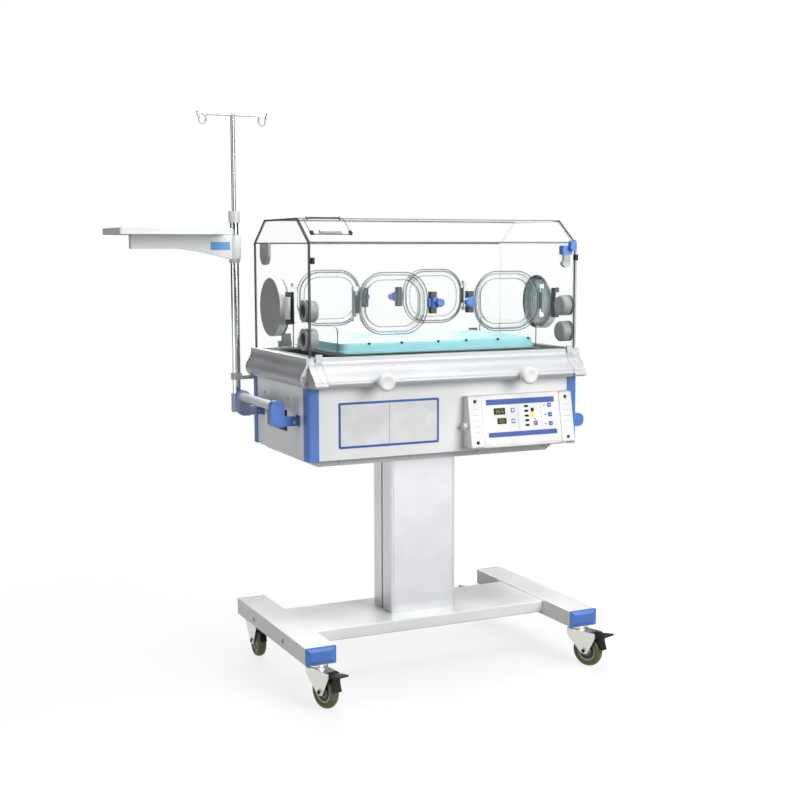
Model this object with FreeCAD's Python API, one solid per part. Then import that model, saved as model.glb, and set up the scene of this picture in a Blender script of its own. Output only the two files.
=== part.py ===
import FreeCAD, Part
import math
import os

V = FreeCAD.Vector
X, Y, Z = V(1, 0, 0), V(0, 1, 0), V(0, 0, 1)
SIDES = (-1, 1)

# Infant incubator on a four-caster stand. Millimetres, +Z up.
# The origin is the point of the floor below the middle of the column.
# The front, with the access panel, faces -Y.

# Running clearances and the gap that keeps moving pieces off their neighbours
RUN = 0.05
GAP = 0.4

# Casters
WHEEL_R = 50
WHEEL_W = 32
TREAD = 13
AXLE_R = 5
TRAIL = 38
FORK_T = 3
KINGPIN_R = 6
FORK_TOP_Z = 114
RACE_R = 27
RACE_H = 8
PEDAL_W = 42
PEDAL_REACH = 118
PEDAL_PIN_R = 3
CASTER_INSET = 33
# Which way each wheel trails, in degrees from +X
HEADINGS = {"fl": -76, "fr": -70, "rl": -93, "rr": 150}

# Base: two foot beams, a wide cross beam and four faceted end caps
BASE_SPAN = 958
FOOT_LENGTH = 601
FOOT_W = 92
FOOT_H = 51
CROSS_D = 268
CROSS_H = 36
CROSS_DROP = 5
BEAM_WALL = 3
CAP_T = 9
CAP_FACET = 5

# Column
COLUMN_W = 219
COLUMN_D = 126
COLUMN_WALL = 4
GROOVE_W = 9
GROOVE_D = 7

# Cabinet
CABINET_W = 875
CABINET_D = 455
CABINET_Z = 683
CABINET_H = 208
SHEET = 3
POST_LEG = 31
POST_T = 2.5
PAN_H = 19
PAN_X = (-402, 346)
PAN_D = 410
PAN_SLOPE = 27
INTAKE_W = 170
INTAKE_H = 62
INTAKE_Z = 780
INTAKE_Y = 24
INTAKE_DEPTH = 16

# Rail round the top of the cabinet
RAIL_H = 82
RAIL_LIP = 6
RAIL_LIP_H = 10
SIDE_BULGE = 23
FRONT_BULGE = 54
FRONT_NOSE_Z = 14
SIDE_NOSE_Z = 31
RAIL_TUCK = 10
RAIL_INSET = 16
RAIL_WALL = 3
ARM_W = 20
ARM_T = 5
ARM_GRIP = 10
CORNER_W = 19
PIN_Z = 15

# Deck inside the rail, mattress tray and mattress
DECK_WALL = 4
DECK_RIM_Z = 966
WELL_X = 366
WELL_Y = 198
WELL_Z = 921
WELL_CORNER = 12
LUG_W = 24
LUG_T = 10
SLOT_X = 392
SLOT_PITCH = 60
TRAY_L = 668
TRAY_D = 380
TRAY_T = 5
TRAY_Z = 970
TRAY_PIVOT_R = 4
MATTRESS_L = 640
MATTRESS_D = 368
MATTRESS_H = 34
GUARD_H = 78
GUARD_T = 4

# Tilt knobs on the front rail
KNOB_X = 231
KNOB_Z = 904
KNOB_R = 26
KNOB_H = 26
KNOB_FLARE = 3
KNOB_ROUND = 6
KNOB_SHAFT_R = 6
KNOB_SHAFT_L = 110

# Hood
HOOD_W = 864
HOOD_D = 452
HOOD_Z = 974
HOOD_SHOULDER = 1292
HOOD_TOP = 1360
TOP_Y = (-135, 131)
ACRYLIC = 6
PANEL_GAP = 1.5
HOOD_LIP = 8
HOOD_HINGE_X = 330

# Hand ports, two in the front panel and two in the rear wall of the hood
PORT_X = 183
PORT_Z = 1121
PORT_W = 188
PORT_H = 150
PORT_WALL = 10
RING_H = 6
DOOR_LIP = 10
DOOR_T = 5
PORT_HINGE_H = 96
PORT_PIN_R = 3
LATCH_X = 60
LATCH_PAD_R = 12
LATCH_PAD_IN = 13
LATCH_PAD_L = 14
LATCH_BODY_T = 14
LATCH_BODY_H = 30

# Round end ports
END_R = 85
END_Z = 1107
END_OUT = 33
END_PIN_R = 3
END_RING_R = 78
END_BORE_R = 72
END_RING_L = 20
END_PIN_OUT = 12
END_BRACKET_H = 92
END_LUG_H = 14

# Fittings of the end walls
GROMMET_R = 31
GROMMET_Y = -190
GROMMET_Z = (1102, 1023)
GROMMET_NECK_R = 25
GROMMET_BORE_R = 19
CUP_L = 28
CUP_ROUND = 7
SLEEVE_Y = (76, 150)
SLEEVE_Z = (1227, 1290)
SLEEVE_T = 8
SLEEVE_CORNER = 30

# Hatch in the front slope
HATCH_X = (-413, -292)
HATCH_T = 4
HATCH_MARGIN = 9
HATCH_PIN_R = 1.5
HATCH_BARREL_R = 3.5
HATCH_LUG_IN = 8
HATCH_LUG_W = 6
HATCH_PIN_DOWN = 4.5

# Panel latch
LOCK_X = 388
LOCK_Z = 1230
LOCK_PIN_R = 5
LOCK_RING_R = 13
LOCK_COLLAR_W = 24
LOCK_COLLAR_H = 20
LOCK_BLOCK_W = 32
LOCK_BLOCK_H = 28
LOCK_PILL_W = 20
LOCK_PILL_H = 34

# Push handles
GRIP_Z = 833
GRIP_OUT = 64
GRIP_R = 13
HANDLE_PIN_Z = 791
HANDLE_PIN_OUT = 15
HANDLE_PIN_R = 4
HANDLE_Y = 148
BRACKET_T = 22
BRACKET_W = 40

# Control unit
UNIT_X = (50, 402)
UNIT_Z = (695, 846)
UNIT_TOP_D = 27
UNIT_BOTTOM_D = 55
COVER_W = 43
COVER_SCREWS = (16, 137)
SCREW_WELL_R = 5.5
COVER_RIBS = 5
RIB_MARGIN = 10
RIB_START = 40
RIB_PITCH = 17
FASCIA_SEAT = 3
FASCIA_T = 2.2
THUMB_R = 9
THUMB_Z = 759
THUMB_OUT = 22
THUMB_L = 12
FASCIA_ALONG = (6, 146)
KEY = 14
# Middle of each key: share of the fascia's width, then millimetres down its face
KEYS = ((0.383, 47), (0.383, 79), (0.671, 89), (0.864, 38), (0.866, 66), (0.868, 93))

# Infusion pole and shelf
POLE_X = -496
POLE_Y = 219
POLE_R = 12.5
POLE_WALL = 2
POLE_Z = (786, 1353)
COLLAR_R = 17
ROD_R = 6.3
ROD_TOP = 1674
ROD_TAIL = 1105
CROSSBAR = 182
HOOK_R = 12
HOOK_WIRE_R = 3
SHELF_X = (-869, -535)
SHELF_D = 220
SHELF_Z = 1335
SHELF_H = 19
SHELF_WALL = 3
ARM_Z = 1244
ARM_X = -814
ARM_FLAT_L = 140
ARM_DROP = 41

# Air system under the deck
FAN_X = 40
FAN_R = 62
FAN_H = 20
FAN_LIFT = 150
BLADES = 12
MOTOR_R = 38
MOTOR_H = 120
FAN_SHAFT_R = 4
HEATER_X = (140, 300)
HEATER_D = 100
HEATER_H = 150
FINS = 10
TANK_X = (-300, -80)
TANK_D = 240
TANK_H = 130
TANK_WALL = 3
TANK_NECK_R = 22

# How the ogee of the rail runs from its lip (0, 0) to its nose (1, 1), in shares of the way out and down
OGEE = ((0, 0), (0.05, 0.16), (0.23, 0.38), (0.56, 0.62), (0.88, 0.83), (1, 1))
NOSES = {"front": (FRONT_BULGE, FRONT_NOSE_Z), "side": (SIDE_BULGE, SIDE_NOSE_Z)}

CASTER_X = BASE_SPAN / 2 - FOOT_W / 2
CASTER_Y = FOOT_LENGTH / 2 - CASTER_INSET
RACE_Z = FORK_TOP_Z + GAP
BEAM_Z = RACE_Z + RACE_H
FOOT_TOP = BEAM_Z + FOOT_H
BEAM_TOP = FOOT_TOP - CROSS_DROP
CABINET_TOP = CABINET_Z + CABINET_H
RAIL_Z = CABINET_TOP
RAIL_TOP = RAIL_Z + RAIL_H
HALF_W = CABINET_W / 2
HALF_D = CABINET_D / 2
HOOD_X = HOOD_W / 2
HOOD_Y = HOOD_D / 2
PANEL_PIN_Y = -(HALF_D + FRONT_BULGE - 2)
PANEL_PIN_Z = RAIL_Z + 8
HANDLE_PIN_X = HALF_W + HANDLE_PIN_OUT
FACE_ANGLE = math.atan2(UNIT_BOTTOM_D - UNIT_TOP_D, UNIT_Z[1] - UNIT_Z[0])


def box(x0, x1, y0, y1, z0, z1):
    return Part.makeBox(x1 - x0, y1 - y0, z1 - z0, V(x0, y0, z0))


def rod(start, axis, length, radius):
    return Part.makeCylinder(radius, length, start, axis)


def pipe(start, axis, length, radius, bore):
    return rod(start, axis, length, radius).cut(rod(start, axis, length, bore))


def prism(points, push):
    corners = [V(*p) for p in points]
    return Part.Face(Part.makePolygon(corners + corners[:1])).extrude(push)


def group(solids):
    return Part.makeCompound(list(solids))


def rounded(shape, direction, radius):
    """Rounds the straight edges of a shape that run along one direction."""
    edges = [e for e in shape.Edges
             if isinstance(e.Curve,
                           Part.Line) and abs(abs(e.tangentAt(e.FirstParameter).dot(direction)) - 1) < 1e-6]
    return shape.makeFillet(radius, edges)


def mirror_x(shape):
    return shape.mirror(V(0, 0, 0), X)


def mirror_y(shape):
    return shape.mirror(V(0, 0, 0), Y)


def oval(width, height, corner, y, thick, x=0, z=0):
    """A plate of a rounded rectangle in the XZ plane, thick along +Y from y."""
    plate = box(x - width / 2, x + width / 2, y, y + thick, z - height / 2, z + height / 2)
    return rounded(plate, Y, corner)


def port_plate(grow, y, thick, side):
    """A plate of the hand port's outline, grown all round."""
    corner = PORT_H / 2 - 14 + grow
    return oval(PORT_W + 2 * grow, PORT_H + 2 * grow, corner, y, thick, side * PORT_X, PORT_Z)


# Casters

def caster_frame(name):
    """Swivel centre and heading of one caster."""
    side = -1 if name[1] == "l" else 1
    front = -1 if name[0] == "f" else 1
    return V(side * CASTER_X, front * CASTER_Y, 0), HEADINGS[name]


def place_caster(shape, name):
    """Moves a piece that is drawn trailing along +X to its own caster."""
    centre, heading = caster_frame(name)
    turned = shape.rotated(V(0, 0, 0), Z, heading)
    return turned.translated(centre)


def fork():
    inner = WHEEL_W / 2 + 2
    outer = inner + FORK_T
    lug_x, lug_z = pedal_pivot()
    cap = rod(V(0, 0, FORK_TOP_Z - 9), Z, 9, RACE_R + 4)
    cap = cap.makeFillet(3, [cap.Edges[0]])
    leg_outline = [(-RACE_R, 0, FORK_TOP_Z - 4), (lug_x + 7, 0, FORK_TOP_Z - 4),
                   (lug_x + 7, 0, lug_z - 7),
                   (TRAIL + 11, 0, WHEEL_R - 9), (TRAIL - 11, 0, WHEEL_R - 9),
                   (-RACE_R, 0, FORK_TOP_Z - 24)]
    legs = [prism(leg_outline, V(0, FORK_T, 0)).translated(V(0, y, 0)) for y in (inner, -outer)]
    legs = [rounded(leg, Y, 5) for leg in legs]
    bridge = box(-RACE_R, lug_x - 12, -outer, outer, FORK_TOP_Z - 8, FORK_TOP_Z - 4)
    axle = rod(V(TRAIL, -outer - 3, WHEEL_R), Y, 2 * outer + 6, AXLE_R)
    heads = [rod(V(TRAIL, y, WHEEL_R), Y, 3, AXLE_R + 4) for y in (-outer - 3, outer)]
    pin = rod(V(lug_x, -outer, lug_z), Y, 2 * outer, PEDAL_PIN_R)
    body = cap.multiFuse(legs + [bridge, axle, pin] + heads)
    return body.cut(rod(V(0, 0, FORK_TOP_Z - 30), Z, 60, KINGPIN_R + RUN)).removeSplitter()


def pedal_pivot():
    return TRAIL + WHEEL_R * 0.66, WHEEL_R * 2 + 3


def wheel_point(degrees, out):
    """A place beside the wheel, out from its tread at an angle above the axle."""
    angle = math.radians(degrees)
    return TRAIL + (WHEEL_R + out) * math.cos(angle), WHEEL_R + (WHEEL_R + out) * math.sin(angle)


def wheel():
    """Tyre and hub, the hub dished on both faces."""
    profile = [(AXLE_R + RUN, -WHEEL_W / 2), (14, -WHEEL_W / 2), (16, -WHEEL_W / 2 + 7),
               (WHEEL_R - TREAD - 5, -WHEEL_W / 2 + 7), (WHEEL_R - TREAD, -WHEEL_W / 2 + 3)]
    crown = WHEEL_R - 5
    half = [V(r, 0, y) for r, y in profile] + [V(crown, 0, -WHEEL_W / 2 + 3)]
    other = [V(p.x, 0, -p.z) for p in reversed(half)]
    edges = [Part.LineSegment(a, b).toShape() for a, b in zip(half, half[1:])]
    edges.append(Part.Arc(half[-1], V(WHEEL_R, 0, 0), other[0]).toShape())
    edges += [Part.LineSegment(a, b).toShape() for a, b in zip(other, other[1:] + half[:1])]
    solid = Part.Face(Part.Wire(edges)).revolve(V(0, 0, 0), Z, 360)
    upright = solid.rotated(V(0, 0, 0), X, 90)
    return upright.translated(V(TRAIL, 0, WHEEL_R))


def pedal():
    """Foot brake: barrel, arm with the shoe that presses the tread, and the wide paddle."""
    px, pz = pedal_pivot()
    inner = WHEEL_W / 2 + 1.5
    barrel = rod(V(px, -inner, pz), Y, 2 * inner, PEDAL_PIN_R + 3)
    arm = box(px, px + 20, -inner, inner, pz - 2, pz + 4)
    tread = [wheel_point(38, 3.5), wheel_point(25, 5.5), wheel_point(10, 7.5)]
    back = [wheel_point(10, 14), wheel_point(32, 16)]
    outline = [(px + 5, pz)] + tread + back + [(px + 22, pz)]
    shoe = prism([(x, -10, z) for x, z in outline], V(0, 20, 0))
    paddle = prism([(px + 14, -PEDAL_W / 2, pz - 2), (PEDAL_REACH, -PEDAL_W / 2, pz + 3),
                    (PEDAL_REACH, -PEDAL_W / 2, pz + 8), (px + 14, -PEDAL_W / 2, pz + 4)],
                    V(0, PEDAL_W, 0))
    body = barrel.multiFuse([arm, shoe, paddle])
    return body.cut(rod(V(px, -40, pz), Y, 80, PEDAL_PIN_R + RUN)).removeSplitter()


def caster_heads():
    """Swivel races under the foot beams with the kingpins that carry the forks."""
    heads = []
    for name in HEADINGS:
        centre, heading = caster_frame(name)
        race = rod(V(0, 0, RACE_Z), Z, RACE_H, RACE_R)
        pin = rod(V(0, 0, FORK_TOP_Z - 13), Z, BEAM_Z - FORK_TOP_Z + 13, KINGPIN_R)
        nut = rod(V(0, 0, FORK_TOP_Z - 13.5), Z, 4, KINGPIN_R + 3)
        heads.append(race.multiFuse([pin, nut]).removeSplitter().translated(centre))
    return group(heads)


# Base and column

def foot_beam(side):
    half = FOOT_W / 2
    half_len = FOOT_LENGTH / 2 - CAP_T
    outer = box(-half, half, -half_len, half_len, BEAM_Z, FOOT_TOP)
    outer = rounded(outer, Y, 4)
    hollow = box(-half + BEAM_WALL, half - BEAM_WALL, -half_len, half_len, BEAM_Z + BEAM_WALL,
                 FOOT_TOP - BEAM_WALL)
    return outer.cut(hollow).translated(V(side * CASTER_X, 0, 0))


def cross_beam():
    inner = CASTER_X - FOOT_W / 2
    top = BEAM_TOP
    outer = rounded(box(-inner, inner, -CROSS_D / 2, CROSS_D / 2, top - CROSS_H, top), X, 4)
    hollow = box(-inner, inner, -CROSS_D / 2 + BEAM_WALL, CROSS_D / 2 - BEAM_WALL,
                 top - CROSS_H + BEAM_WALL, top - BEAM_WALL)
    return outer.cut(hollow)


def end_cap(side, front):
    """A moulded plug whose outer face rises in a facet."""
    half = FOOT_W / 2
    start = FOOT_LENGTH / 2 - CAP_T
    skirt = rounded(box(-half, half, start, start + CAP_T - CAP_FACET, BEAM_Z, FOOT_TOP), Y, 4)
    y1 = start + CAP_T - CAP_FACET
    y2 = start + CAP_T
    rim = Part.makePolygon([V(x, y1, z) for x, z in
                            ((-half + 3, BEAM_Z + 3), (half - 3, BEAM_Z + 3),
                             (half - 3, FOOT_TOP - 3), (-half + 3, FOOT_TOP - 3),
                             (-half + 3, BEAM_Z + 3))])
    face = Part.makePolygon([V(x, y2, z) for x, z in
                             ((-half + 14, BEAM_Z + 12), (half - 14, BEAM_Z + 12),
                              (half - 14, FOOT_TOP - 12), (-half + 14, FOOT_TOP - 12),
                              (-half + 14, BEAM_Z + 12))])
    facet = Part.makeLoft([rim, face], True)
    plug = box(-half + BEAM_WALL, half - BEAM_WALL, start - 14, start, BEAM_Z + BEAM_WALL,
               FOOT_TOP - BEAM_WALL)
    cap = skirt.multiFuse([facet, plug]).removeSplitter().translated(V(side * CASTER_X, 0, 0))
    return cap if front > 0 else mirror_y(cap)


def base_frame():
    return group([foot_beam(-1), foot_beam(1), cross_beam()])


def end_caps():
    return group([end_cap(s, f) for s in SIDES for f in SIDES])


def column():
    """Extruded post with a groove down each side."""
    z1 = CABINET_Z - PAN_H
    height = z1 - BEAM_TOP
    w, d = COLUMN_W / 2, COLUMN_D / 2
    post = rounded(box(-w, w, -d, d, BEAM_TOP, z1), Z, 5)
    hollow = box(-w + COLUMN_WALL + GROOVE_D, w - COLUMN_WALL - GROOVE_D, -d + COLUMN_WALL,
                 d - COLUMN_WALL,
                 BEAM_TOP, z1)
    grooves = [box(s * w - GROOVE_D, s * w + GROOVE_D, -GROOVE_W / 2, GROOVE_W / 2, BEAM_TOP,
                   z1) for s in SIDES]
    rebates = [box(s * (w - 9) - 1, s * (w - 9) + 1, -d - 1, -d + 1, BEAM_TOP, z1) for s in SIDES]
    return post.cut(hollow).cut(group(grooves)).cut(group(rebates))


# Cabinet

def cabinet_shell():
    outer = rounded(box(-HALF_W, HALF_W, -HALF_D, HALF_D, CABINET_Z, CABINET_TOP), Z, 8)
    hollow = box(-HALF_W + SHEET, HALF_W - SHEET, -HALF_D + SHEET, HALF_D - SHEET, CABINET_Z + SHEET,
                 CABINET_TOP)
    shell = outer.cut(hollow)
    frame = box(-HALF_W, -HALF_W + INTAKE_DEPTH, INTAKE_Y - INTAKE_W / 2 - SHEET,
                INTAKE_Y + INTAKE_W / 2 + SHEET,
                INTAKE_Z - INTAKE_H / 2 - SHEET, INTAKE_Z + INTAKE_H / 2 + SHEET)
    mouth = box(-HALF_W - 1, -HALF_W + INTAKE_DEPTH + 1, INTAKE_Y - INTAKE_W / 2, INTAKE_Y + INTAKE_W / 2,
                INTAKE_Z - INTAKE_H / 2, INTAKE_Z + INTAKE_H / 2)
    return shell.fuse(frame).cut(mouth).removeSplitter()


def air_filter():
    """Filter cassette at the back of the intake, its face in shallow pleats."""
    y0, y1 = INTAKE_Y - INTAKE_W / 2, INTAKE_Y + INTAKE_W / 2
    x0 = -HALF_W + INTAKE_DEPTH - 6
    block = box(x0, -HALF_W + INTAKE_DEPTH + 14, y0, y1, INTAKE_Z - INTAKE_H / 2, INTAKE_Z + INTAKE_H / 2)
    pitch = INTAKE_W / 10
    slots = [box(x0 - 1, x0 + 3, y0 + (i + 0.3) * pitch, y0 + (i + 0.7) * pitch,
                 INTAKE_Z - INTAKE_H / 2 + 5, INTAKE_Z + INTAKE_H / 2 - 5) for i in range(10)]
    return block.cut(group(slots))


def floor_pan():
    """Shallow folded pan under the cabinet with sloped ends."""
    x0, x1 = PAN_X
    outline = [(x0 - PAN_SLOPE, 0, CABINET_Z), (x1 + PAN_SLOPE, 0, CABINET_Z),
               (x1, 0, CABINET_Z - PAN_H), (x0, 0, CABINET_Z - PAN_H)]
    pan = prism(outline, V(0, PAN_D, 0)).translated(V(0, -PAN_D / 2, 0))
    inside = prism([(x0 - PAN_SLOPE + 5, 0, CABINET_Z + 1), (x1 + PAN_SLOPE - 5, 0, CABINET_Z + 1),
                    (x1 - 1, 0, CABINET_Z - PAN_H + SHEET), (x0 + 1, 0, CABINET_Z - PAN_H + SHEET)],
                   V(0, PAN_D - 2 * SHEET, 0)).translated(V(0, -PAN_D / 2 + SHEET, 0))
    return pan.cut(inside)


def corner_post():
    """Rounded corner guard drawn at the +X +Y corner."""
    outer = box(HALF_W - POST_LEG, HALF_W + POST_T, HALF_D - POST_LEG, HALF_D + POST_T, CABINET_Z,
                CABINET_TOP)
    corner = [e for e in outer.Edges if e.BoundBox.XLength < 1e-6 and e.BoundBox.YLength < 1e-6
              and e.BoundBox.XMin > HALF_W and e.BoundBox.YMin > HALF_D]
    outer = outer.makeFillet(9, corner)
    inner = box(HALF_W - POST_LEG - 1, HALF_W, HALF_D - POST_LEG - 1, HALF_D, CABINET_Z - 1,
                CABINET_TOP + 1)
    inner_corner = [e for e in inner.Edges if e.BoundBox.XLength < 1e-6 and e.BoundBox.YLength < 1e-6
                    and e.BoundBox.XMin > HALF_W - 1e-3 and e.BoundBox.YMin > HALF_D - 1e-3]
    return outer.cut(inner.makeFillet(8, inner_corner))


def corner_posts():
    post = corner_post()
    return group([post, mirror_x(post), mirror_y(post), mirror_x(mirror_y(post))])


# Rail

def rail_section(kind, grow=0.0):
    """Closed ogee outline in the XZ plane, outward along +X from the cabinet's face at x = 0."""
    bulge, nose = NOSES[kind]
    lip = V(RAIL_LIP + grow, 0, RAIL_H)
    drop = RAIL_H - RAIL_LIP_H - nose
    sweep = [V(RAIL_LIP + (bulge - RAIL_LIP) * out + grow, 0, RAIL_H - RAIL_LIP_H - drop * down)
             for out, down in OGEE]
    tuck = V(bulge - RAIL_TUCK + grow, 0, 0)
    curve = Part.BSplineCurve()
    curve.interpolate(sweep + [tuck], InitialTangent=V(0, 0, -1), FinalTangent=V(-1, 0, -1))
    inner_low, inner_top = V(-RAIL_INSET, 0, 0), V(-RAIL_INSET, 0, RAIL_H)
    edges = [Part.LineSegment(inner_top, lip).toShape(), Part.LineSegment(lip, sweep[0]).toShape(),
             curve.toShape(),
             Part.LineSegment(tuck, inner_low).toShape(), Part.LineSegment(inner_low,
                                                                           inner_top).toShape()]
    return Part.Face(Part.Wire(edges))


def rail_bar(kind, length, wall=0.0):
    """A bar of the section along +Y from the origin, solid or with a wall of the given thickness."""
    bar = rail_section(kind).extrude(V(0, length, 0))
    if not wall:
        return bar
    core = rail_section(kind, -wall).extrude(V(0, length, 0))
    return bar.cut(core.common(box(-RAIL_INSET + wall, NOSES[kind][0], 0, length, wall, RAIL_H - wall)))


def front_rail_solid(x0, x1, wall=0.0):
    """A length of the front section between two places along X."""
    bar = rail_bar("front", x1 - x0, wall)
    bar.rotate(V(0, 0, 0), Z, -90)
    return bar.translated(V(x0, -HALF_D, RAIL_Z))


def side_rail_solid(y0, y1, side, wall=0.0):
    bar = rail_bar("side", y1 - y0, wall).translated(V(HALF_W, y0, RAIL_Z))
    return bar if side > 0 else mirror_x(bar)


def rails():
    """Four extrusions: front, rear and the two sides."""
    arm_slot = HALF_W - CORNER_W - ARM_W - GAP
    front = front_rail_solid(-arm_slot + GAP, arm_slot - GAP, RAIL_WALL)
    holes = [rod(V(s * KNOB_X, -HALF_D - FRONT_BULGE - 20, KNOB_Z), Y, KNOB_SHAFT_L + 10,
                 KNOB_SHAFT_R + RUN) for s in SIDES]
    front = front.cut(group(holes))
    end_y = HALF_D - CORNER_W
    sides = [side_rail_solid(-end_y, end_y, s, RAIL_WALL) for s in SIDES]
    rear = rail_bar("side", 2 * (HALF_W - CORNER_W), RAIL_WALL)
    rear.rotate(V(0, 0, 0), Z, 90)
    rear = rear.translated(V(HALF_W - CORNER_W, HALF_D, RAIL_Z))
    for s in SIDES:
        rear = rear.cut(box(s * HOOD_HINGE_X - 25, s * HOOD_HINGE_X + 25, HALF_D, HALF_D + 40,
                            RAIL_TOP - 30,
                            RAIL_TOP + 1))
    return group([front, rear] + sides)


def rail_corners():
    """Cast corner pieces; the front pair carry the outer barrels of the panel hinge."""
    corners = []
    for s in SIDES:
        for f in SIDES:
            y0, y1 = (HALF_D - CORNER_W, HALF_D + RAIL_LIP)
            side = side_rail_solid(y0, y1, 1)
            front = rail_bar("front" if f < 0 else "side", CORNER_W)
            front.rotate(V(0, 0, 0), Z, 90)
            front = front.translated(V(HALF_W, HALF_D, RAIL_Z))
            corner = side.fuse(front)
            if f < 0:
                corner = corner.fuse(box(HALF_W - CORNER_W, HALF_W, -PANEL_PIN_Y - 12, -PANEL_PIN_Y,
                                         PANEL_PIN_Z - 6, PANEL_PIN_Z + 6))
                corner = corner.fuse(rod(V(HALF_W - CORNER_W, -PANEL_PIN_Y, PANEL_PIN_Z), X, CORNER_W, 6))
                corner = corner.fuse(rod(V(HALF_W - CORNER_W - ARM_W - GAP, -PANEL_PIN_Y, PANEL_PIN_Z), X,
                                         ARM_W + GAP + 1, 3))
            corner = corner.removeSplitter()
            corner = corner if s > 0 else mirror_x(corner)
            corners.append(corner if f > 0 else mirror_y(corner))
    return corners


# Front access panel

def panel_arms():
    """Hinge arms that follow the rail's section and carry the access panel."""
    x1 = HALF_W - CORNER_W - GAP
    x0 = x1 - ARM_W + GAP
    section = front_rail_solid(x0, x1)
    strap = section.cut(section.translated(V(0, ARM_T, -ARM_T)))
    strap = strap.common(box(x0, x1, -HALF_D - 2 * FRONT_BULGE, -HALF_D, PANEL_PIN_Z, RAIL_TOP))
    barrel = rod(V(x0, PANEL_PIN_Y, PANEL_PIN_Z), X, x1 - x0, 6)
    lip_y = -HALF_D - RAIL_LIP
    foot = box(x0, x1, lip_y - ARM_T, lip_y, RAIL_TOP - 12, RAIL_TOP + ARM_GRIP)
    arm = strap.multiFuse([barrel, foot])
    arm = arm.cut(rod(V(x0 - 1, PANEL_PIN_Y, PANEL_PIN_Z), X, x1 - x0 + 2, 3 + RUN)).removeSplitter()
    return group([arm, mirror_x(arm)])


def panel_y():
    """Back face of the access panel, just in front of the hood's end walls."""
    return -HOOD_Y - PANEL_GAP


def panel_front():
    return panel_y() - ACRYLIC


def front_panel():
    """Clear panel with the two port rings bonded in."""
    plate = box(-HOOD_X, HOOD_X, panel_front(), panel_y(), RAIL_TOP + 1, HOOD_SHOULDER - 2)
    plate = rounded(plate, Y, 10)
    for s in SIDES:
        plate = plate.fuse(port_plate(0, panel_front() - RING_H, RING_H + ACRYLIC + 4, s))
        plate = plate.cut(port_plate(-PORT_WALL, panel_front() - 40, 80, s))
    plate = plate.cut(rod(V(LOCK_X, panel_front() - 40, LOCK_Z), Y, 80, LOCK_PIN_R + RUN))
    return plate.removeSplitter()


def hand_door(side, hinge_x):
    """Oval clear door with a lip round the ring and a hinge barrel, drawn for the front."""
    back = panel_front() - RING_H - GAP
    grow = DOOR_LIP + 3
    door = port_plate(grow, back - DOOR_T, DOOR_T, side)
    lip = port_plate(grow, back - 1, RING_H - 2, side).cut(port_plate(3, back - 2, RING_H + 4, side))
    door = door.fuse(lip)
    door = door.makeFillet(1.5, [e for e in door.Edges if abs(e.BoundBox.YMin - (back - DOOR_T)) < 1e-6
                                 and e.BoundBox.YLength < 1e-6])
    pin_y = port_pin_y()
    low = PORT_Z - PORT_HINGE_H / 2 + 12 + GAP
    height = PORT_HINGE_H - 24 - 2 * GAP
    edge = side * (PORT_X + PORT_W / 2 + grow)
    ear = box(min(edge - side * 14, hinge_x), max(edge - side * 14, hinge_x), back - DOOR_T, back, low,
              low + height)
    barrel = rod(V(hinge_x, pin_y, low), Z, height, PORT_PIN_R + 3)
    door = door.multiFuse([ear, barrel])
    return door.cut(rod(V(hinge_x, pin_y, low - 1), Z, height + 2, PORT_PIN_R + RUN)).removeSplitter()


def port_pin_y():
    return panel_front() - RING_H - GAP - DOOR_T / 2


def port_pin_x(side):
    return side * (PORT_X + PORT_W / 2 + DOOR_LIP + 3 + 8)


def latch_pin():
    return V(LATCH_X, panel_front() - 12, PORT_Z)


def port_mount(side):
    """Hinge bracket with its pin and the two lugs of the latch, drawn for the front."""
    wall = panel_front()
    hx = port_pin_x(side)
    low, high = PORT_Z - PORT_HINGE_H / 2, PORT_Z + PORT_HINGE_H / 2
    outer = hx + side * 9
    near = hx - side * 5
    plate = box(min(outer, near), max(outer, near), wall - 2, wall, low, high)
    lugs = [box(min(outer, near), max(outer, near), port_pin_y() - 7, wall - 1, z,
                z + 12) for z in (low, high - 12)]
    pin = rod(V(hx, port_pin_y(), low), Z, high - low, PORT_PIN_R)
    bracket = plate.multiFuse(lugs + [pin]).removeSplitter()
    lp = latch_pin()
    lx = side * lp.x
    ears = [box(lx - 9, lx + 9, lp.y - 7, wall, z, z + 16) for z in (PORT_Z - 31, PORT_Z + 15)]
    back = box(lx - 9, lx + 9, wall - 2, wall, PORT_Z - 31, PORT_Z + 31)
    pivot = rod(V(lx, lp.y, PORT_Z - 31), Z, 62, 2.5)
    return [bracket, back.multiFuse(ears + [pivot]).removeSplitter()]


def port_mounts():
    return group(port_mount(-1) + port_mount(1))


def port_latch(side):
    """Lever: block on its barrel, round pad in front of it and a short claw at the door's rim."""
    lp = latch_pin()
    lx = side * lp.x
    half = LATCH_BODY_H / 2 - GAP
    barrel = rod(V(lx, lp.y, PORT_Z - half), Z, 2 * half, 6)
    pad_x = lx - side * LATCH_PAD_IN
    front = lp.y - LATCH_BODY_T
    pad = rod(V(pad_x, front - LATCH_PAD_L, PORT_Z), Y, LATCH_PAD_L + 2, LATCH_PAD_R)
    pad = pad.makeFillet(2.5,
                         [e for e in pad.Edges if abs(e.BoundBox.YMax - (front - LATCH_PAD_L)) < 1e-6])
    near = lx + side * 7
    block = box(min(pad_x, near), max(pad_x, near), front, lp.y + 4, PORT_Z - half, PORT_Z + half)
    block = rounded(block, Z, 3)
    claw_end = side * (PORT_X - PORT_W / 2 - DOOR_LIP - 3 - 1.2)
    claw = box(min(lx, claw_end), max(lx, claw_end), lp.y - 5, lp.y + 2, PORT_Z - 12, PORT_Z + 12)
    latch = barrel.multiFuse([pad, block, claw])
    return latch.cut(rod(V(lx, lp.y, PORT_Z - 20), Z, 40, 2.5 + RUN)).removeSplitter()


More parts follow.
